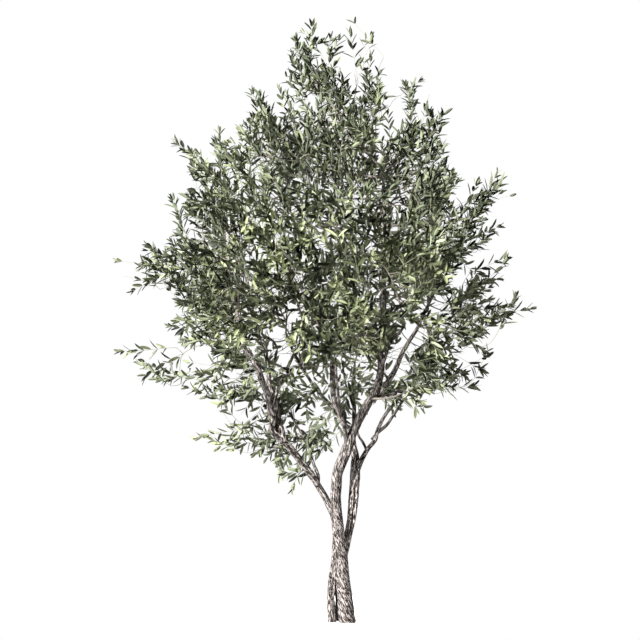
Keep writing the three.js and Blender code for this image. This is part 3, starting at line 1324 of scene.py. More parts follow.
    def _leaves_open(self, chance: Dice, shoot: Shoot) -> bool:
        """Says whether a shoot keeps out of the openings with its middle and its tip.

        Args:
            chance: The random numbers.
            shoot: The shoot.

        Returns:
            Whether it may grow.
        """
        tip = shoot.middle + shoot.heading * shoot.length * 0.5
        for seen in seen_from_front(np.array((shoot.middle, tip))).tolist():
            for opening in self.openings:
                if opening.clears(seen) and chance.random() < opening.share:
                    return False
        return True

    def _fits(self, shoot: Shoot) -> bool:
        """Shortens a shoot until it stays in the foliage.

        Args:
            shoot: The shoot.

        Returns:
            Whether that can be done.
        """
        behind, ahead = self.overhang
        for shrink in self.shrinks:
            half = shoot.heading * shoot.length * shrink * 0.5
            covered = within(self.union, shoot.middle + half * 1.1, ahead)
            if covered and within(self.union, shoot.middle - half, behind):
                shoot.length *= shrink
                return True
        return False

    def _add(self, shoot: Shoot) -> None:
        """Adds a shoot, with the daylight that reaches it past the other foliage.

        Args:
            shoot: The shoot.
        """
        light = unit(np.array(self.daylight))
        spots = [shoot.middle + light * reach for reach in self.shades]
        shoot.light = 1 - sum(within(self.union, spot, 0.0) for spot in spots) / len(spots)
        shoot.outward = unit(shoot.middle - np.array(self.middle))
        self.shoots.append(shoot)

    def _roots(self, limbs: tuple[Limb, ...]) -> tuple[Array, Array]:
        """Finds the points on the limbs and side boughs that finer wood can leave.

        Args:
            limbs: The surveyed limbs.

        Returns:
            The points, and the radius of the limb at each.
        """
        lines = []
        for limb in limbs:
            line, radii = limb.points_every(self.root_gap)
            free = line[:, 2] > self.free_height
            if limb.is_stem:
                free &= line[:, 2] > line[:, 2].max() - self.stem_top
            lines.append((line[free], radii[free]))
        for bough in self.side_boughs:
            line, radii = bough.line(limbs)
            half = len(line) // 2
            lines.append((line[half:], radii[half:]))
        return tuple(np.concatenate(parts) for parts in zip(*lines))

    def grow(self, limbs: tuple[Limb, ...]) -> Wood:
        """Grows the wood step by step from the limbs towards the nearest unreached shoots.

        Args:
            limbs: The surveyed limbs.

        Returns:
            The wood that reaches every shoot.
        """
        targets = np.array([shoot.base for shoot in self.shoots])
        roots, limb_radii = self._roots(limbs)
        rooted = len(roots)
        places, parents, headings = list(roots), [-1] * rooted, [np.zeros(3)] * rooted
        nearest = np.full(len(targets), -1)
        distance = np.full(len(targets), np.inf)
        waiting = np.ones(len(targets), bool)
        fresh = np.arange(rooted)
        for _ in range(self.most_steps):
            if not waiting.any() or not len(fresh):
                break
            todo = np.flatnonzero(waiting)
            gaps = np.linalg.norm(targets[todo, None] - np.array(places)[None, fresh], axis=2)
            best = gaps.argmin(axis=1)
            gap = gaps[np.arange(len(todo)), best]
            closer = gap < distance[todo]
            nearest[todo[closer]] = fresh[best[closer]]
            distance[todo[closer]] = gap[closer]
            reached = todo[distance[todo] < self.kill]
            waiting[reached] = False
            pulls: dict[int, list[int]] = {}
            for target in np.flatnonzero(waiting):
                pulls.setdefault(int(nearest[target]), []).append(int(target))
            start = len(places)
            for source, wanted in pulls.items():
                pull = unit(targets[wanted] - places[source]).sum(axis=0)
                if np.linalg.norm(pull) < 0.3:  # the shoots pull it apart, so it follows one
                    pull = targets[wanted[0]] - places[source]
                stray = dice_for(*places[source]).normal(0, self.stray, 3)
                course = unit(unit(pull) + self.momentum * headings[source] + stray)
                places.append(places[source] + course * self.step)
                parents.append(source)
                headings.append(course)
            fresh = np.arange(start, len(places))
        for shoot, point in zip(self.shoots, nearest):
            shoot.anchor = int(point)
        spots, descent = np.array(places), np.array(parents)
        self._drop_strays(spots, descent, rooted)
        return self._thicken(spots, descent, limb_radii)

    def _drop_strays(self, places: Array, parents: Array, rooted: int) -> None:
        """Drops the shoots whose wood would loop through open air or run bare across an opening.

        Args:
            places: The points of the wood.
            parents: The parent of each point, or -1 on a limb.
            rooted: How many of the first points are on the limbs.
        """
        borne = np.bincount([shoot.anchor for shoot in self.shoots], minlength=len(places))
        for point in range(len(places) - 1, rooted - 1, -1):
            borne[parents[point]] += borne[point]
        astray = np.zeros(len(places), bool)
        bare = np.zeros(len(places), int)  # how many points in a row, up to here, are in openings
        seen = seen_from_front(places).tolist()
        for point in range(rooted, len(places)):
            place, parent = places[point], parents[point]
            if place[2] > self.bare_height and any(o.clears(seen[point]) for o in self.openings):
                bare[point] = bare[parent] + 1
            loose = place[2] > self.airy_height and not within(self.union, place, 0.05)
            if loose:
                outward = unit(place - np.array(self.middle))
                loose = self.union.ray_cast(Vector(place), Vector(outward))[0] is None
            stripped = bare[point] > self.bare_run and borne[point] < self.thin_load
            astray[point] = loose or stripped or astray[parent]
        kept = [shoot for shoot in self.shoots if not astray[shoot.anchor]]
        LOG.info("%d stray shoots dropped", len(self.shoots) - len(kept))
        self.shoots = kept

    def _thicken(self, places: Array, parents: Array, limb_radii: Array) -> Wood:
        """Gives each point the radius of wood that feeds all the shoots beyond it.

        Args:
            places: The points of the wood.
            parents: The parent of each point, or -1 on a limb.
            limb_radii: The radius of the limb at each of the first points, which are on limbs.

        Returns:
            The wood, evened out.
        """
        rooted = len(limb_radii)
        load = np.zeros(len(places))
        for shoot in self.shoots:
            load[shoot.anchor] += self.shoot_radius**self.pipe
        for point in range(len(places) - 1, rooted - 1, -1):
            load[parents[point]] += load[point]
        radii = load ** (1 / self.pipe)
        radii[:rooted] = limb_radii
        leaving = rooted + np.flatnonzero(parents[rooted:] < rooted)
        most = self.offshoot * radii[parents[leaving]]
        radii[leaving] = np.minimum(radii[leaving], most)
        heir = self.heirs(parents, radii, rooted)
        inner = np.flatnonzero(heir >= 0)
        for _ in range(4):
            ends = places[parents[inner]] + places[heir[inner]]
            places[inner] = 0.5 * places[inner] + 0.25 * ends
        return Wood(places, parents, radii, rooted)

    @staticmethod
    def heirs(parents: Array, radii: Array, rooted: int) -> Array:
        """Finds for each point the thickest point that grows from it.

        Args:
            parents: The parent of each point.
            radii: The radius of each point.
            rooted: How many of the first points are on the limbs, and have no heir.

        Returns:
            The number of each point's heir, or -1.
        """
        heir = np.full(len(parents), -1)
        for point in range(rooted, len(parents)):
            parent = parents[point]
            if parent < rooted or radii[point] == 0:
                continue
            if heir[parent] < 0 or radii[point] > radii[heir[parent]]:
                heir[parent] = point
        return heir


# --- Twigs and leaves ---


@dataclass
class MeshBatch:
    """Gathers many small shapes into one mesh."""

    materials: list[Finish]
    corners: list[Array] = field(default_factory=list)
    faces: list[Array] = field(default_factory=list)
    finishes: list[Array] = field(default_factory=list)
    count: int = 0

    def add(self, corners: Array, faces: Array, finishes: Array) -> None:
        """Adds one lot of shapes.

        Args:
            corners: Their corners, one a row.
            faces: Their triangles, numbered within the lot.
            finishes: The material number of each triangle.
        """
        self.corners.append(corners)
        self.faces.append(faces + self.count)
        self.finishes.append(finishes)
        self.count += len(corners)

    def mesh(self, name: str, smooth: bool) -> bpy.types.Mesh:
        """Joins the lots into a mesh.

        Args:
            name: The mesh's name.
            smooth: Whether its faces are shaded smooth.

        Returns:
            The mesh, with its materials.
        """
        corners, faces = np.concatenate(self.corners), np.concatenate(self.faces)
        mesh = bpy.data.meshes.new(name)
        mesh.vertices.add(len(corners))
        mesh.vertices.foreach_set("co", corners.ravel())
        mesh.loops.add(faces.size)
        mesh.loops.foreach_set("vertex_index", faces.ravel().astype(np.int32))
        mesh.polygons.add(len(faces))
        mesh.polygons.foreach_set("loop_start", np.arange(0, faces.size, 3, dtype=np.int32))
        for material in self.materials:
            mesh.materials.append(material)
        mesh.polygons.foreach_set("material_index", np.concatenate(self.finishes).astype(np.int32))
        mesh.polygons.foreach_set("use_smooth", np.full(len(faces), smooth))
        mesh.update(calc_edges=True)
        mesh.validate()
        return mesh


def add_tube(batch: MeshBatch, line: Array, radii: Array, sides: int, finish: int) -> None:
    """Adds one closed tapering tube to a batch.

    Args:
        batch: The batch.
        line: The middle of the tube, one point a row.
        radii: Its radius at each point.
        sides: How many sides it has.
        finish: The number of its material.
    """
    _, across, deep = tube_frames(line)
    turns = (np.arange(sides) * 2 * math.pi / sides)[None, :, None]
    ring = across[:, None] * np.cos(turns) + deep[:, None] * np.sin(turns)
    skin = (line[:, None] + ring * radii[:, None, None]).reshape(-1, 3)
    corners = np.vstack((skin, line[0], line[-1] + (line[-1] - line[-2]) * 0.1))
    here = np.arange(sides)
    after = (here + 1) % sides
    top = len(skin) - sides
    strips = []
    for start in range(0, top, sides):
        a, b = start + here, start + after
        strips += [(a, b, b + sides), (a, b + sides, a + sides)]
    strips.append((np.full(sides, len(skin)), after, here))
    strips.append((np.full(sides, len(skin) + 1), top + here, top + after))
    faces = np.concatenate([np.stack(strip, 1) for strip in strips])
    batch.add(corners, faces, np.full(len(faces), finish))


@dataclass(frozen=True)
class LeafForm:
    """An olive leaf: a lance-shaped sliver, folded along its midrib and curved back at its tip."""

    fold: float  # how far the margins stand above the midrib, in shares of the breadth
    curl: float = 0.04  # how far the tip hangs below the base, in shares of the length
    outline: tuple[float, ...] = (0.0, 0.40, 0.5, 0.38, 0.0)  # half the breadth at each station
    stations: tuple[float, ...] = (0.0, 0.20, 0.48, 0.78, 1.0)  # how far along the leaf each is
    arch: float = 0.03  # how far its middle rises, in shares of the length
    thickness: float = 0.012  # at the midrib, in shares of half the length

    def shape(self) -> tuple[Array, Array, Array]:
        """Makes the leaf, one long and one broad, pointing along x with its upper side to z.

        Returns:
            Its corners, its triangles, and for each triangle whether it is on the upper side.
        """
        model = bmesh.new()
        last = len(self.stations) - 1
        bmesh.ops.create_grid(model, x_segments=last, y_segments=2, size=0.5)
        for corner in model.verts:
            station = int(round((corner.co.x + 0.5) * last))
            side = corner.co.y * 2
            along, half = self.stations[station], self.outline[station]
            sag = -self.curl * along * along * 1.4 + self.arch * math.sin(math.pi * along)
            corner.co = (along, side * half, sag + abs(side) * half * self.fold)
        bmesh.ops.remove_doubles(model, verts=model.verts, dist=1e-4)
        upper = model.faces[:]
        copy = bmesh.ops.duplicate(model, geom=model.verts[:] + model.edges[:] + upper)
        under = [item for item in copy["geom"] if isinstance(item, bmesh.types.BMFace)]
        bmesh.ops.reverse_faces(model, faces=under)
        for face in under:
            face.material_index = 1
        for corner in {corner for face in under for corner in face.verts}:
            if not corner.is_boundary:
                corner.co.z -= self.thickness
        bmesh.ops.remove_doubles(model, verts=model.verts, dist=1e-5)
        bmesh.ops.triangulate(model, faces=model.faces)
        model.verts.index_update()
        corners = np.array([tuple(corner.co) for corner in model.verts])
        faces = np.array([[corner.index for corner in face.verts] for face in model.faces])
        upper_side = np.array([face.material_index == 0 for face in model.faces])
        model.free()
        return corners, faces, upper_side


class LeafKind(Enum):
    """The ways that an olive leaf is bent."""

    FLAT = LeafForm(fold=0.16)
    FOLDED = LeafForm(fold=0.34, curl=0.02)
    CURLED = LeafForm(fold=0.16, curl=0.12)
    SLIM = LeafForm(fold=0.2, curl=-0.05, outline=(0.0, 0.34, 0.43, 0.33, 0.0))


@dataclass(frozen=True)
class Leaf:
    """One leaf, before it is stamped into its region's mesh."""

    base: Array  # where its stalk joins the shoot
    along: Array  # the direction that it points in
    face: Array  # the direction that its upper side faces
    size: Pair  # its length and breadth
    tints: tuple[int, int]  # the numbers of its upper and its under skin


def stamp_leaves(leaves: dict[LeafKind, list[Leaf]], skins: list[Finish]) -> MeshBatch:
    """Stamps leaves into one batch, a kind at a time.

    Args:
        leaves: The leaves of each kind.
        skins: The materials of the upper skins and then of the under skins.

    Returns:
        The batch.
    """
    batch = MeshBatch(skins)
    for kind, rows in leaves.items():
        if not rows:
            continue
        corners, faces, upper = kind.value.shape()
        base, along, face, size, tints = (
            np.array([getattr(leaf, name) for leaf in rows])
            for name in ("base", "along", "face", "size", "tints")
        )
        along = unit(along)
        aside = unit(np.cross(face, along))
        above = np.cross(along, aside)
        placed = base[:, None] + (
            along[:, None] * (corners[None, :, :1] * size[:, None, :1])
            + aside[:, None] * (corners[None, :, 1:2] * size[:, None, 1:2])
            + above[:, None] * (corners[None, :, 2:3] * size[:, None, :1] * 0.5)
        )
        numbers = faces[None] + (np.arange(len(rows)) * len(corners))[:, None, None]
        finishes = np.where(upper[None], tints[:, :1], tints[:, 1:2])
        batch.add(placed.reshape(-1, 3), numbers.reshape(-1, 3), finishes.ravel())
    return batch


@dataclass
class Foliage:
    """Dresses the wood and the shoots: tubes for the wood, opposite pairs of leaves on it."""

    openings: tuple[Opening, ...]
    tones: tuple[Tone, ...]
    outlook: Outlook
    leaf_length: Pair = (0.079, 0.102)
    leaf_breadth: Pair = (0.021, 0.026)
    kinds: tuple[float, ...] = (0.42, 0.2, 0.24, 0.14)  # the share of leaves of each kind
    vigour: Pair = (0.85, 1.1)  # how large the leaves of a shoot are, where 1 is usual
    pair_gap: float = 0.050  # from one pair of leaves to the next
    bare: float = 0.16  # the share of a shoot at its base that has lost its leaves
    lost: float = 0.06  # the share of the other leaves that has been lost
    parted: float = 0.88  # the share of leaves missing in front of a shown limb
    spread: Pair = (50, 18)  # a leaf's angle to its shoot in degrees, and how much less at its tip
    grey_wood: float = 0.0045  # wood thicker than this is old and grey
    tube_sides: tuple[tuple[float, int], ...] = ((0.008, 9), (0.005, 7), (0.003, 5), (0.002, 4))
    stalk: float = 0.003  # from the middle of the shoot to where a leaf starts
    facing: Pair = (0.7, 0.2)  # how far leaves turn their faces out of the crown, and up
    sway: Pair = (0.08, 0.45)  # how far a leaf's direction and its face turn at random
    middle_tint: float = 2.5  # the usual tint, counted from the deepest skin
    rim_tint: float = 1.9  # painted shade: how many tints deeper leaves in full light are than shaded ones
    top_tint: float = 1.2  # painted shade: how many tints deeper leaves at the top are, where the key light falls freely
    top: Pair = (2.9, 3.6)  # where the top begins and where it is reached
    mixture: float = 1.4  # how many tints shoots side by side differ by
    leaves: dict[Region, dict[LeafKind, list[Leaf]]] = field(
        default_factory=lambda: {region: {kind: [] for kind in LeafKind} for region in Region}
    )

    def dress(self, crown: Crown, wood: Wood, limbs: tuple[Limb, ...]) -> None:
        """Makes the twig and leaf pieces of every region.

        Args:
            crown: The crown, with its shoots placed.
            wood: The wood that carries them.
            limbs: The surveyed limbs.
        """
        barks = [finish.material() for finish in TWIG_BARKS]
        skins = [finish.material() for finish in UPPER_SKINS + UNDER_SKINS]
        twigs = {region: MeshBatch(barks) for region in Region}
        self._wood(crown, wood, twigs)
        for bough in crown.side_boughs:
            line, radii = bough.line(limbs)
            add_tube(twigs[bough.region], line, radii, 9, 0)
        for shoot in crown.shoots:
            chance = dice_for(*shoot.base)
            line = self._shoot_line(chance, shoot, wood)
            radii = np.linspace(crown.shoot_radius * 1.1, crown.shoot_radius * 0.55, len(line))
            add_tube(twigs[shoot.region], line, radii, 3, 2)
            self._leaf_shoot(chance, shoot, line)
        for region in Region:
            place = region.name.lower()
            new_piece("twigs_" + place, twigs[region].mesh("twigs_" + place, True))
            stands_for = tuple("foliage_" + mass for mass in region.value)
            mesh = stamp_leaves(self.leaves[region], skins).mesh("leaves_" + place, False)
            new_piece("leaves_" + place, mesh, stands_for)
        LOG.info("%d shoots", len(crown.shoots))

    def _wood(self, crown: Crown, wood: Wood, twigs: dict[Region, MeshBatch]) -> None:
        """Adds a tube for every run of wood from a fork to its tip.

        Args:
            crown: The crown, for the regions of its shoots.
            wood: The wood.
            twigs: The batches of each region.
        """
        region = np.full(len(wood.places), -1)
        order = list(Region)
        for shoot in crown.shoots:
            region[shoot.anchor] = order.index(shoot.region)
        for point in range(len(wood.places) - 1, wood.rooted - 1, -1):
            if region[point] >= 0:
                region[wood.parents[point]] = region[point]
        heir = crown.heirs(wood.parents, wood.radii, wood.rooted)
        for point in range(wood.rooted, len(wood.places)):
            parent = wood.parents[point]
            if wood.radii[point] == 0 or (parent >= wood.rooted and heir[parent] == point):
                continue
            run = [point]
            while heir[run[-1]] >= 0:
                run.append(heir[run[-1]])
            start = min(wood.radii[point] * 1.15, wood.radii[parent])
            radii = smoothed(np.concatenate(([start], wood.radii[run])), 2)
            thick = radii.max()
            sides = next((sides for least, sides in self.tube_sides if thick > least), 3)
            finish = 0 if thick > self.grey_wood else 1
            add_tube(twigs[order[region[point]]], wood.places[[parent] + run], radii, sides, finish)

    @staticmethod
    def _shoot_line(chance: Dice, shoot: Shoot, wood: Wood) -> Array:
        """Draws a shoot from its twig to its tip, rising or hanging a little.

        Args:
            chance: The random numbers.
            shoot: The shoot.
            wood: The wood that it is anchored in.

        Returns:
            The points of its line.
        """
        share = np.linspace(0.0, 1.0, 6)[:, None]
        lean = UP * chance.uniform(-0.10, 0.12) + chance.normal(0, 0.05, 3)
        line = shoot.base + (shoot.heading * share + lean * share**2) * shoot.length
        return smoothed(np.vstack((wood.places[shoot.anchor], line)), 1)

    def _leaf_shoot(self, chance: Dice, shoot: Shoot, line: Array) -> None:
        """Sets pairs of leaves crosswise along a shoot, and a closing pair at its tip.

        Args:
            chance: The random numbers.
            shoot: The shoot.
            line: The points of its line, of which the first is in its twig.
        """
        along, across, deep = tube_frames(line)
        length = lengths_along(line)
        start = length[1] + self.bare * (length[-1] - length[1])
        turn = chance.uniform(0, math.pi)
        vigour = chance.uniform(*self.vigour)
        tint = self._tint(chance, shoot)
        widest, narrowing = self.spread
        place = start
        while place < length[-1]:
            share = (place - start) / max(length[-1] - start, 1e-6)
            spot = np.array([np.interp(place, length, line[:, k]) for k in range(3)])
            at = min(int(np.searchsorted(length, place)), len(line) - 1)
            frame = (along[at], across[at], deep[at])
            spread = math.radians(widest - narrowing * share) + chance.normal(0, 0.14)
            size = self._shrink(share) * vigour
            for side in (0.0, math.pi):
                if chance.random() >= self.lost:
                    self._leaf(chance, shoot, spot, frame, (turn + side, spread), size, tint)
            turn += math.pi / 2 + chance.normal(0, 0.15)
            place += self.pair_gap * chance.uniform(0.8, 1.2) * (1.1 - 0.35 * share)
        frame = (along[-1], across[-1], deep[-1])
        for side in (0.0, math.pi):
            angles = (turn + side, math.radians(narrowing))
            self._leaf(chance, shoot, line[-1], frame, angles, self._shrink(1.0) * vigour, tint)

    @staticmethod
    def _shrink(share: float) -> float:
        """Gives the size of a leaf at a share of its shoot: less over the last of its length."""
        return 1.0 - 0.38 * max(0.0, share - 0.6) / 0.4

    def _leaf(
        self,
        chance: Dice,
        shoot: Shoot,
        spot: Array,
        frame: tuple[Array, Array, Array],
        angles: Pair,
        size: float,
        tint: int,
    ) -> None:
        """Sets one leaf on a shoot, unless it would close an opening or hide a shown limb.

        Args:
            chance: The random numbers.
            shoot: The shoot.
            spot: Where on the shoot it sits.
            frame: The shoot's direction there, and two directions across it.
            angles: The angle round the shoot that it leaves at, and the angle between the two.
            size: How large it is, where 1 is usual.
            tint: The tint that the shoot was dealt.
        """
        forward, across, deep = frame
        turn, spread = angles
        seen = seen_from_front((spot + forward * 0.03)[None])[0].tolist()
        if any(opening.share == 1 and opening.clears(seen) for opening in self.openings):
            return
        outward = across * math.cos(turn + chance.normal(0, 0.15)) + deep * math.sin(turn)
        turned, tipped = self.sway
        along = forward * math.cos(spread) + outward * math.sin(spread)
        along = unit(along + chance.normal(0, turned, 3) - UP * 0.06)
        if self.outlook.hidden_by(spot + along * 0.035) and chance.random() < self.parted:
            return
        face = forward * math.sin(spread) - outward * math.cos(spread)
        out, up = self.facing
        face = face + shoot.outward * out + UP * up + chance.normal(0, tipped, 3)
        length = chance.uniform(*self.leaf_length) * size
        breadth = chance.uniform(*self.leaf_breadth) * (0.45 + 0.55 * size)
        kind = list(LeafKind)[int(chance.choice(len(LeafKind), p=self.kinds))]
        upper = int(np.clip(tint + chance.choice((-2, -1, 0, 0, 0, 1, 2)), 0, len(UPPER_SKINS) - 1))
        under = len(UPPER_SKINS) + int(np.clip(round(tint / 2 + chance.normal(0, 0.4)), 0, 2))
        leaf = Leaf(spot + along * self.stalk, along, face, (length, breadth), (upper, under))
        self.leaves[shoot.region][kind].append(leaf)

    def _tint(self, chance: Dice, shoot: Shoot) -> int:
        """Deals a shoot its tint, with painted light and shade: deeper in full light and at the top
        of the crown.

        Args:
            chance: The random numbers.
            shoot: The shoot.

        Returns:
            The number of its upper skin.
        """
        seen = seen_from_front(shoot.middle[None])[0].tolist()
        high = float(ease(shoot.base[2:], *self.top)[0])
        # Painted light and shade: shoots in full light and at the top are dealt deeper tints, and
        # shaded ones paler, which evens out the light that they get.
        tint = self.middle_tint - self.rim_tint * shoot.light - self.top_tint * high
        # The tone patches add their painted light and shade.
        tint += sum(tone.at(seen) for tone in self.tones) + chance.normal(0, self.mixture)
        return int(np.clip(round(tint), 0, len(UPPER_SKINS) - 1))


# --- Studio ---


@dataclass(frozen=True)
class Lamp:
    """A large round soft lamp that faces the tree."""

    name: str
    place: Place
    size: float
    power: float
    spread: float = 180.0  # how wide its beam is, in degrees

    def hang(self, target: Vector) -> None:
        """Puts the lamp into the scene.

        Args:
            target: The place that it is turned to.
        """
        data = bpy.data.lights.new(self.name, "AREA")
        data.shape = "DISK"
        data.size = self.size
        data.energy = self.power
        data.spread = math.radians(self.spread)
        lamp = bpy.data.objects.new(self.name, data)
        lamp.location = self.place
        lamp.rotation_euler = (target - Vector(self.place)).to_track_quat("-Z", "Y").to_euler()
        bpy.context.scene.collection.objects.link(lamp)


@dataclass(frozen=True)
class Studio:
    """A white studio: a pale floor, a soft white surround, four soft lamps and the camera."""

    lens: float = 100.0  # in millimetres, on a sensor as wide as the next number
    sensor: float = 36.0
    floor_radius: float = 1.15
    floor_drop: float = 0.0005  # how far below the foot of the tree it lies
    floor_colour: str = "#f7f7f5"
    lamps: tuple[Lamp, ...] = (
        Lamp("soft_key", (-7.8, -7.9, 5.7), 1.8, 5000.0),
        Lamp("soft_back", (1.5, 10.0, 6.0), 4.0, 800.0),
        Lamp("soft_side", (6.5, -8.5, 3.0), 3.0, 110.0),
    )
    trunk_lamp: Lamp = Lamp("soft_low", (-1.5, -9.0, 0.9), 1.2, 1.2, 14.0)
    trunk: Place = (0.0, 0.0, 0.8)
    surround: float = 0.03  # how brightly the surround lights the tree

    def build(self, middle: Vector) -> None:
        """Sets up the studio.

        Args:
            middle: The middle of the tree, which the lamps are turned to.
        """
        scene = bpy.context.scene
        scene.view_settings.view_transform = "Standard"
        self._floor()
        self._surround()
        for lamp in self.lamps:
            lamp.hang(middle)
        self.trunk_lamp.hang(Vector(self.trunk))
        camera_data = bpy.data.cameras.new("camera")
        camera_data.lens = self.lens
        camera_data.sensor_width = self.sensor
        camera = bpy.data.objects.new("camera", camera_data)
        camera.location = FRONT_VIEW
        camera.rotation_euler = (math.pi / 2, 0.0, 0.0)
        scene.collection.objects.link(camera)
        scene.camera = camera

    def _floor(self) -> None:
        """Lays the pale floor under the tree."""
        model = bmesh.new()
        bmesh.ops.create_circle(model, cap_ends=True, segments=96, radius=self.floor_radius)
        bmesh.ops.translate(model, verts=model.verts, vec=(0, 0, -self.floor_drop))
        mesh = bpy.data.meshes.new("floor")
        model.to_mesh(mesh)
        model.free()
        material, tree = bare_material("matt_white_paint")
        ray = add_node(tree, "ShaderNodeLightPath").outputs["Is Camera Ray"]
        glow = add_node(tree, "ShaderNodeMapRange", {"Value": ray, "To Min": 0.0, "To Max": 1.0})
        surface = {
            "Base Color": linear(self.floor_colour),
            "Roughness": 0.95,
            "Emission Color": WHITE,
            "Emission Strength": glow.outputs[0],
        }
        shader = add_node(tree, "ShaderNodeBsdfPrincipled", surface)
        add_node(tree, "ShaderNodeOutputMaterial", {"Surface": shader.outputs[0]})
        mesh.materials.append(material)
        floor = bpy.data.objects.new("floor", mesh)
        bpy.context.scene.collection.objects.link(floor)
        floor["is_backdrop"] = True

    def _surround(self) -> None:
        """Lights the studio evenly from all round, in front of a white backdrop."""
        world = bpy.data.worlds.new("studio")
        bpy.context.scene.world = world
        world.use_nodes = True
        tree = world.node_tree
        tree.nodes.clear()
        ray = add_node(tree, "ShaderNodeLightPath").outputs["Is Camera Ray"]
        span = {"Value": ray, "To Min": self.surround, "To Max": 1.0}
        strength = add_node(tree, "ShaderNodeMapRange", span).outputs[0]
        light = add_node(tree, "ShaderNodeBackground", {"Color": WHITE, "Strength": strength})
        add_node(tree, "ShaderNodeOutputWorld", {"Surface": light.outputs[0]})


# --- The tree ---

# The stems and boughs. A furrow that starts below the ground runs up from the foot.
LIMBS = (
    Limb(
        "stem_front",
        is_stem=True,
        twist=7.5,
        flute=0.06,
        knots=(Knot(0.23, -5, 0.007),),
        furrows=(Furrow(-0.2, 0.34, -82, 30, -0.011),),
        bends=(Bend(1.02, -0.011, 0.10), Bend(0.16, 0.009, 0.10)),
        shown=1.6,
    ),
    Limb(
        "stem_left",
        is_stem=True,
        twist=3.0,
        flute=0.08,
        knots=(Knot(0.29, -20, 0.009, 0.006),),
        furrows=(
            Furrow(0.20, 0.38, 70, 34, -0.008),
            Furrow(-0.2, 0.16, 85, 40, -0.007),
            Furrow(0.95, 1.32, 90, 50, -0.010),
            Furrow(1.32, 1.72, 90, 60, -0.009),
            Furrow(0.98, 1.30, 20, 12, 0.006),
        ),
        bends=(Bend(1.265, -0.042, 0.06), Bend(1.50, 0.012, 0.08), Bend(1.82, -0.03)),
        shown=1.82,
    ),
    Limb(
        "stem_back",
        is_stem=True,
        twist=1.5,
        flute=0.10,
        knots=(Knot(1.07, 20, 0.010, 0.006),),
        # The shallow furrow low on the back stem's left front is painted shade: a dark band in the
        # gap between the left and front stems, which lies in shadow.
        furrows=(Furrow(0.56, 0.9, 8, 13, 0.010), Furrow(-0.2, 0.40, -60, 60, 0.003)),
        bends=(Bend(1.70, 0.015, 0.12), Bend(0.0, -0.048, 0.12), Bend(0.20, -0.056, 0.16)),
        shown=1.5,
        painted_light=True,
    ),
    Limb("leader", bends=(Bend(1.62, 0.040, 0.16),), shown=1.72),
    Limb("bough_front", bends=(Bend(1.84, -0.036),), shown=1.9),
    Limb("bough_right", bends=(Bend(1.60, 0.055, 0.13),), shown=1.65),
    Limb("bough_side", shown=1.6),
    Limb("bough_slender", shown=1.6),
    Limb(
        "bough_left_inner",
        fullness=1.3,
        bends=(Bend(1.38, -0.022, 0.12), Bend(1.56, -0.040, 0.10), Bend(1.84, 0.03)),
        shown=1.6,
    ),
    Limb("bough_left_low", bends=(Bend(0.97, 0.018, 0.05), Bend(1.36, -0.045, 0.13)), shown=1.12),
    Limb("bough_left_fork"),
    Limb(
        "bough_right_low",
        wander=0.004,
        bends=(Bend(1.205, 0.020, 0.045), Bend(1.37, -0.018, 0.08)),
        shown=1.4,
        painted_light=True,
    ),
    Limb("bough_right_fork", bends=(Bend(1.45, -0.055, 0.18),), shown=1.4),
    Limb("bough_crossing", bends=(Bend(1.24, -0.018, 0.06),)),
    Limb("bough_back"),
    Limb("bough_back_left"),
)
# The short pale bough that crosses in front of the fork on the right.
SIDE_BOUGHS = (SideBough("bough_front", 1.485, (0.19, -0.07, 0.025), 0.0085, Region.LOW_RIGHT),)
# How dense a mass's shoots are, against the usual: thin where the twigs show, thick low down on
# the left, where they hang in front of the boughs, and rather thick at the back, which keeps the
# backdrop from shining through.
DENSITY = {
    "left_spray": 0.75,
    "heart": 0.9,
    "lap": 0.6,
    "left_inner": 1.5,
    "inner_low": 1.3,
    "bottom_spray": 0.9,
    "low_front": 0.95,
    "crown_rear": 1.25,
    "upper_left_rear": 1.25,
    "upper_right_rear": 1.2,
    "middle_left_rear": 1.15,
    "middle_right_rear": 1.15,
    "middle_rear": 1.15,
}
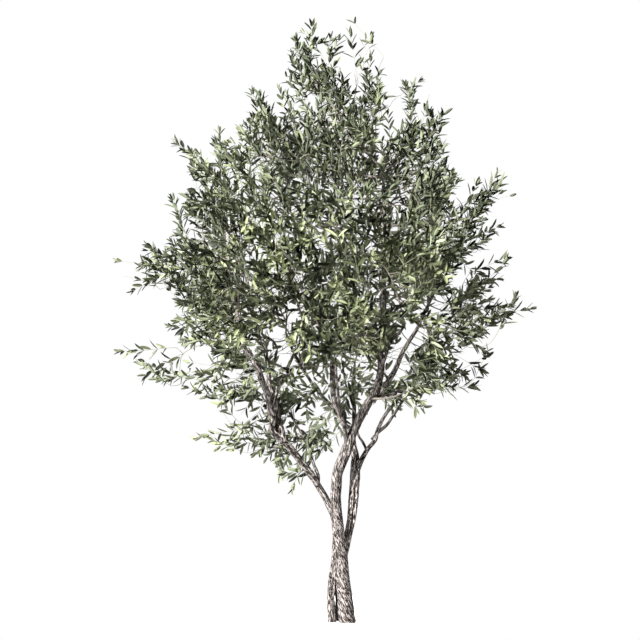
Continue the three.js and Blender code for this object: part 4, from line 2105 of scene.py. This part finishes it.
# Where the sky shows through between the sprays, and where the foliage is thin.
OPENINGS = (
    Opening(0.10, 3.94, 0.06),
    Opening(0.00, 4.03, 0.05),
    Opening(0.24, 3.83, 0.08),
    Opening(0.30, 3.75, 0.09, 0.95),
    Opening(0.09, 3.79, 0.05),
    Opening(-0.06, 3.72, 0.05),
    Opening(-0.17, 3.74, 0.05),
    Opening(0.06, 3.58, 0.06),
    Opening(0.01, 3.67, 0.055),
    Opening(0.30, 3.57, 0.08, 0.9),
    Opening(-0.50, 3.65, 0.08),
    Opening(-0.63, 3.60, 0.07),
    Opening(-0.45, 3.48, 0.10, 0.8),
    Opening(-0.73, 3.43, 0.12),
    Opening(0.34, 3.44, 0.07),
    Opening(0.60, 3.46, 0.08),
    Opening(0.25, 3.34, 0.04, 0.8),
    Opening(0.35, 3.33, 0.04),
    Opening(0.47, 3.36, 0.05),
    Opening(-0.76, 3.28, 0.09, 0.5),
    Opening(-0.95, 3.18, 0.10, 0.9),
    Opening(-0.73, 3.19, 0.06, 0.9),
    Opening(0.61, 3.20, 0.05, 0.9),
    Opening(0.76, 3.08, 0.10),
    Opening(-1.25, 2.98, 0.10),
    Opening(-1.14, 2.94, 0.11),
    Opening(0.88, 2.96, 0.10, 0.95),
    Opening(1.08, 2.95, 0.05),
    Opening(0.73, 2.81, 0.07),
    Opening(-1.26, 2.72, 0.13, 0.95),
    Opening(-1.25, 2.61, 0.09),
    Opening(-1.13, 2.74, 0.07, 0.8),
    Opening(-1.11, 3.05, 0.06, 0.9),
    Opening(-1.37, 2.53, 0.06, 0.9),
    Opening(-1.37, 2.27, 0.05, 0.5),
    Opening(1.06, 2.60, 0.08, 0.9),
    Opening(1.03, 2.74, 0.10),
    Opening(-1.43, 2.44, 0.08),
    Opening(0.85, 2.41, 0.07, 0.9),
    Opening(1.12, 2.42, 0.05),
    Opening(1.02, 2.40, 0.06, 0.8),
    Opening(-1.50, 2.27, 0.08),
    Opening(0.75, 2.28, 0.07),
    Opening(1.15, 2.25, 0.08, 0.8),
    Opening(1.02, 2.26, 0.08, 0.8),
    Opening(-1.24, 2.12, 0.10),
    Opening(-1.38, 2.14, 0.08, 0.7),
    Opening(1.00, 2.18, 0.05, 0.8),
    Opening(1.13, 2.16, 0.05, 0.9),
    Opening(0.61, 2.12, 0.06),
    Opening(0.89, 2.01, 0.06, 0.6),
    Opening(-1.17, 1.87, 0.06),
    Opening(0.43, 1.90, 0.10),
    Opening(1.01, 1.87, 0.09),
    Opening(-0.96, 1.77, 0.08),
    Opening(0.31, 1.78, 0.05),
    Opening(-0.44, 1.76, 0.06),
    Opening(0.35, 1.74, 0.07),
    Opening(0.34, 1.63, 0.05, 0.8),
    Opening(0.09, 1.72, 0.06, 0.8),
    Opening(-1.46, 1.65, 0.10),
    Opening(-0.05, 1.74, 0.06, 0.5),
    Opening(0.77, 1.74, 0.06),
    Opening(0.86, 1.76, 0.05),
    Opening(0.87, 1.88, 0.06, 0.6),
    Opening(-1.33, 1.70, 0.09, 0.8),
    Opening(-0.45, 1.88, 0.06, 0.5),
    Opening(-0.31, 1.62, 0.07, 0.8),
    Opening(-0.76, 1.62, 0.06, 0.9),
    Opening(0.98, 1.56, 0.09),
    Opening(0.91, 1.60, 0.05),
    Opening(0.78, 1.47, 0.09),
    Opening(-1.11, 1.46, 0.09),
    Opening(-0.98, 1.42, 0.06),
    Opening(0.60, 1.46, 0.09),
    Opening(-0.88, 1.35, 0.09),
    Opening(-0.72, 1.43, 0.05, 0.9),
    Opening(-0.73, 1.35, 0.05),
    Opening(-0.18, 1.42, 0.06, 0.9),
    Opening(-0.18, 1.09, 0.06, 0.8),
    Opening(-0.72, 1.06, 0.09),
    Opening(-0.47, 0.88, 0.08, 0.8),
)
# Painted light and shade: where the foliage is dealt paler tints to stand for light, and deeper
# ones to stand for shade.
TONES = (
    Tone(0.42, 2.34, 0.22, 2.4),
    Tone(-0.38, 2.45, 0.22, 1.4),
    Tone(-0.66, 2.78, 0.16, 1.0),
    Tone(0.92, 2.16, 0.24, 2.4),
    Tone(0.72, 1.98, 0.16, 1.6),
    Tone(0.14, 1.75, 0.30, 0.9),
    Tone(-0.25, 2.98, 0.24, -1.9),
    Tone(0.42, 2.78, 0.18, -2.2),
    Tone(-1.08, 2.66, 0.28, -1.8),
    Tone(0.95, 2.78, 0.30, -1.0),
    Tone(-0.10, 3.36, 0.16, -1.6),
    Tone(0.40, 3.60, 0.28, -2.2),
    Tone(-1.17, 1.97, 0.20, -2.2),
    Tone(-0.75, 1.18, 0.25, -1.2),
    Tone(-0.40, 1.45, 0.25, -1.2),
)
# Where extra sprays fill the crown out or hang between the boughs.
SPRAYS = (
    Spray(-0.03, 3.84, 0.03, 2),
    Spray(-0.27, 3.70, 0.09, 6),
    Spray(-0.24, 3.83, 0.04, 2),
    Spray(-0.31, 3.55, 0.06, 3),
    Spray(0.12, 3.60, 0.05, 3),
    Spray(0.09, 3.71, 0.045, 4),
    Spray(0.19, 3.40, 0.06, 5),
    Spray(-0.18, 3.52, 0.13, 12),
    Spray(0.43, 3.40, 0.06, 4),
    Spray(0.43, 3.25, 0.04, 3),
    Spray(-0.59, 3.38, 0.10, 7),
    Spray(-0.70, 3.32, 0.06, 3),
    Spray(0.58, 3.25, 0.08, 3),
    Spray(-0.50, 3.18, 0.12, 8),
    Spray(-0.68, 3.14, 0.11, 9),
    Spray(0.36, 3.19, 0.10, 8),
    Spray(-0.95, 2.92, 0.10, 4),
    Spray(-0.82, 3.08, 0.06, 2),
    Spray(-0.38, 3.30, 0.10, 6),
    Spray(0.96, 2.83, 0.09, 6),
    Spray(0.61, 2.92, 0.12, 8),
    Spray(-0.05, 2.86, 0.12, 8),
    Spray(0.87, 2.66, 0.09, 5),
    Spray(-0.48, 2.62, 0.15, 10, -0.3),
    Spray(-1.06, 2.56, 0.12, 8),
    Spray(-0.18, 2.53, 0.08, 4, -0.3),
    Spray(0.62, 2.53, 0.11, 8),
    Spray(-0.58, 2.53, 0.10, 5, -0.3),
    Spray(-0.42, 2.40, 0.12, 8, -0.3),
    Spray(0.08, 2.27, 0.12, 6, -0.3),
    Spray(-1.22, 2.32, 0.08, 6),
    Spray(-0.45, 2.13, 0.16, 16, -0.4),
    Spray(-1.10, 2.14, 0.09, 5),
    Spray(0.90, 2.47, 0.09, 3),
    Spray(-0.95, 2.68, 0.08, 5),
    Spray(0.74, 2.14, 0.07, 3),
    Spray(1.04, 2.07, 0.07, 3),
    Spray(-0.84, 2.74, 0.09, 5),
    Spray(0.73, 1.97, 0.11, 12),
    Spray(0.76, 1.88, 0.07, 6),
    Spray(0.84, 1.68, 0.05, 3),
    Spray(-0.45, 1.75, 0.06, 4),
    Spray(-0.98, 2.66, 0.06, 4),
    Spray(-0.45, 3.45, 0.06, 4),
    Spray(-1.02, 1.95, 0.09, 4),
    Spray(-0.66, 1.52, 0.08, 4, 0.1),
    Spray(-0.93, 1.50, 0.06, 2),
    Spray(-1.20, 1.69, 0.09, 3),
    Spray(0.72, 1.61, 0.08, 3),
    Spray(0.42, 1.53, 0.07, 3),
    Spray(0.08, 1.58, 0.13, 7, 0.25),
    Spray(-0.05, 1.47, 0.11, 5, 0.25),
    Spray(0.20, 1.52, 0.08, 5, 0.2),
    Spray(0.33, 1.50, 0.09, 4, 0.1),
    Spray(-0.17, 1.56, 0.10, 3, 0.1),
    Spray(-0.44, 1.42, 0.10, 9, 0.15),
    Spray(-0.60, 1.42, 0.10, 4, 0.2),
    Spray(-0.05, 1.36, 0.06, 3, 0.25),
    Spray(-0.40, 1.20, 0.12, 9, 0.2),
    Spray(-0.22, 1.24, 0.10, 8, 0.15),
    Spray(-0.63, 1.22, 0.07, 3, 0.1),
    Spray(-0.84, 1.22, 0.08, 3, 0.0),
    Spray(-0.31, 1.00, 0.04, 3),
)


def main() -> None:
    """Builds the tree and its studio in order."""
    logging.basicConfig(level=logging.INFO, format="%(name)s %(message)s")
    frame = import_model()
    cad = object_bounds()
    nodes = frame["nodes"]
    low, high = (Vector(corner) for corner in cad)
    Studio().build((low + high) * 0.5)
    # The paler bark is painted light for the limbs in the shade of the front stem and the crown.
    weathered, painted_light = OliveBark().material(), PAINTED_LIGHT_BARK.material()
    for limb in LIMBS:
        limb.survey(nodes)
        limb.build(painted_light if limb.painted_light else weathered)
    crown = Crown(density=DENSITY, openings=OPENINGS, sprays=SPRAYS, side_boughs=SIDE_BOUGHS)
    crown.fill(nodes)
    wood = crown.grow(LIMBS)
    outlook = Outlook.on_limbs(LIMBS, SIDE_BOUGHS)
    Foliage(openings=OPENINGS, tones=TONES, outlook=outlook).dress(crown, wood, LIMBS)


if __name__ == "__main__":
    main()
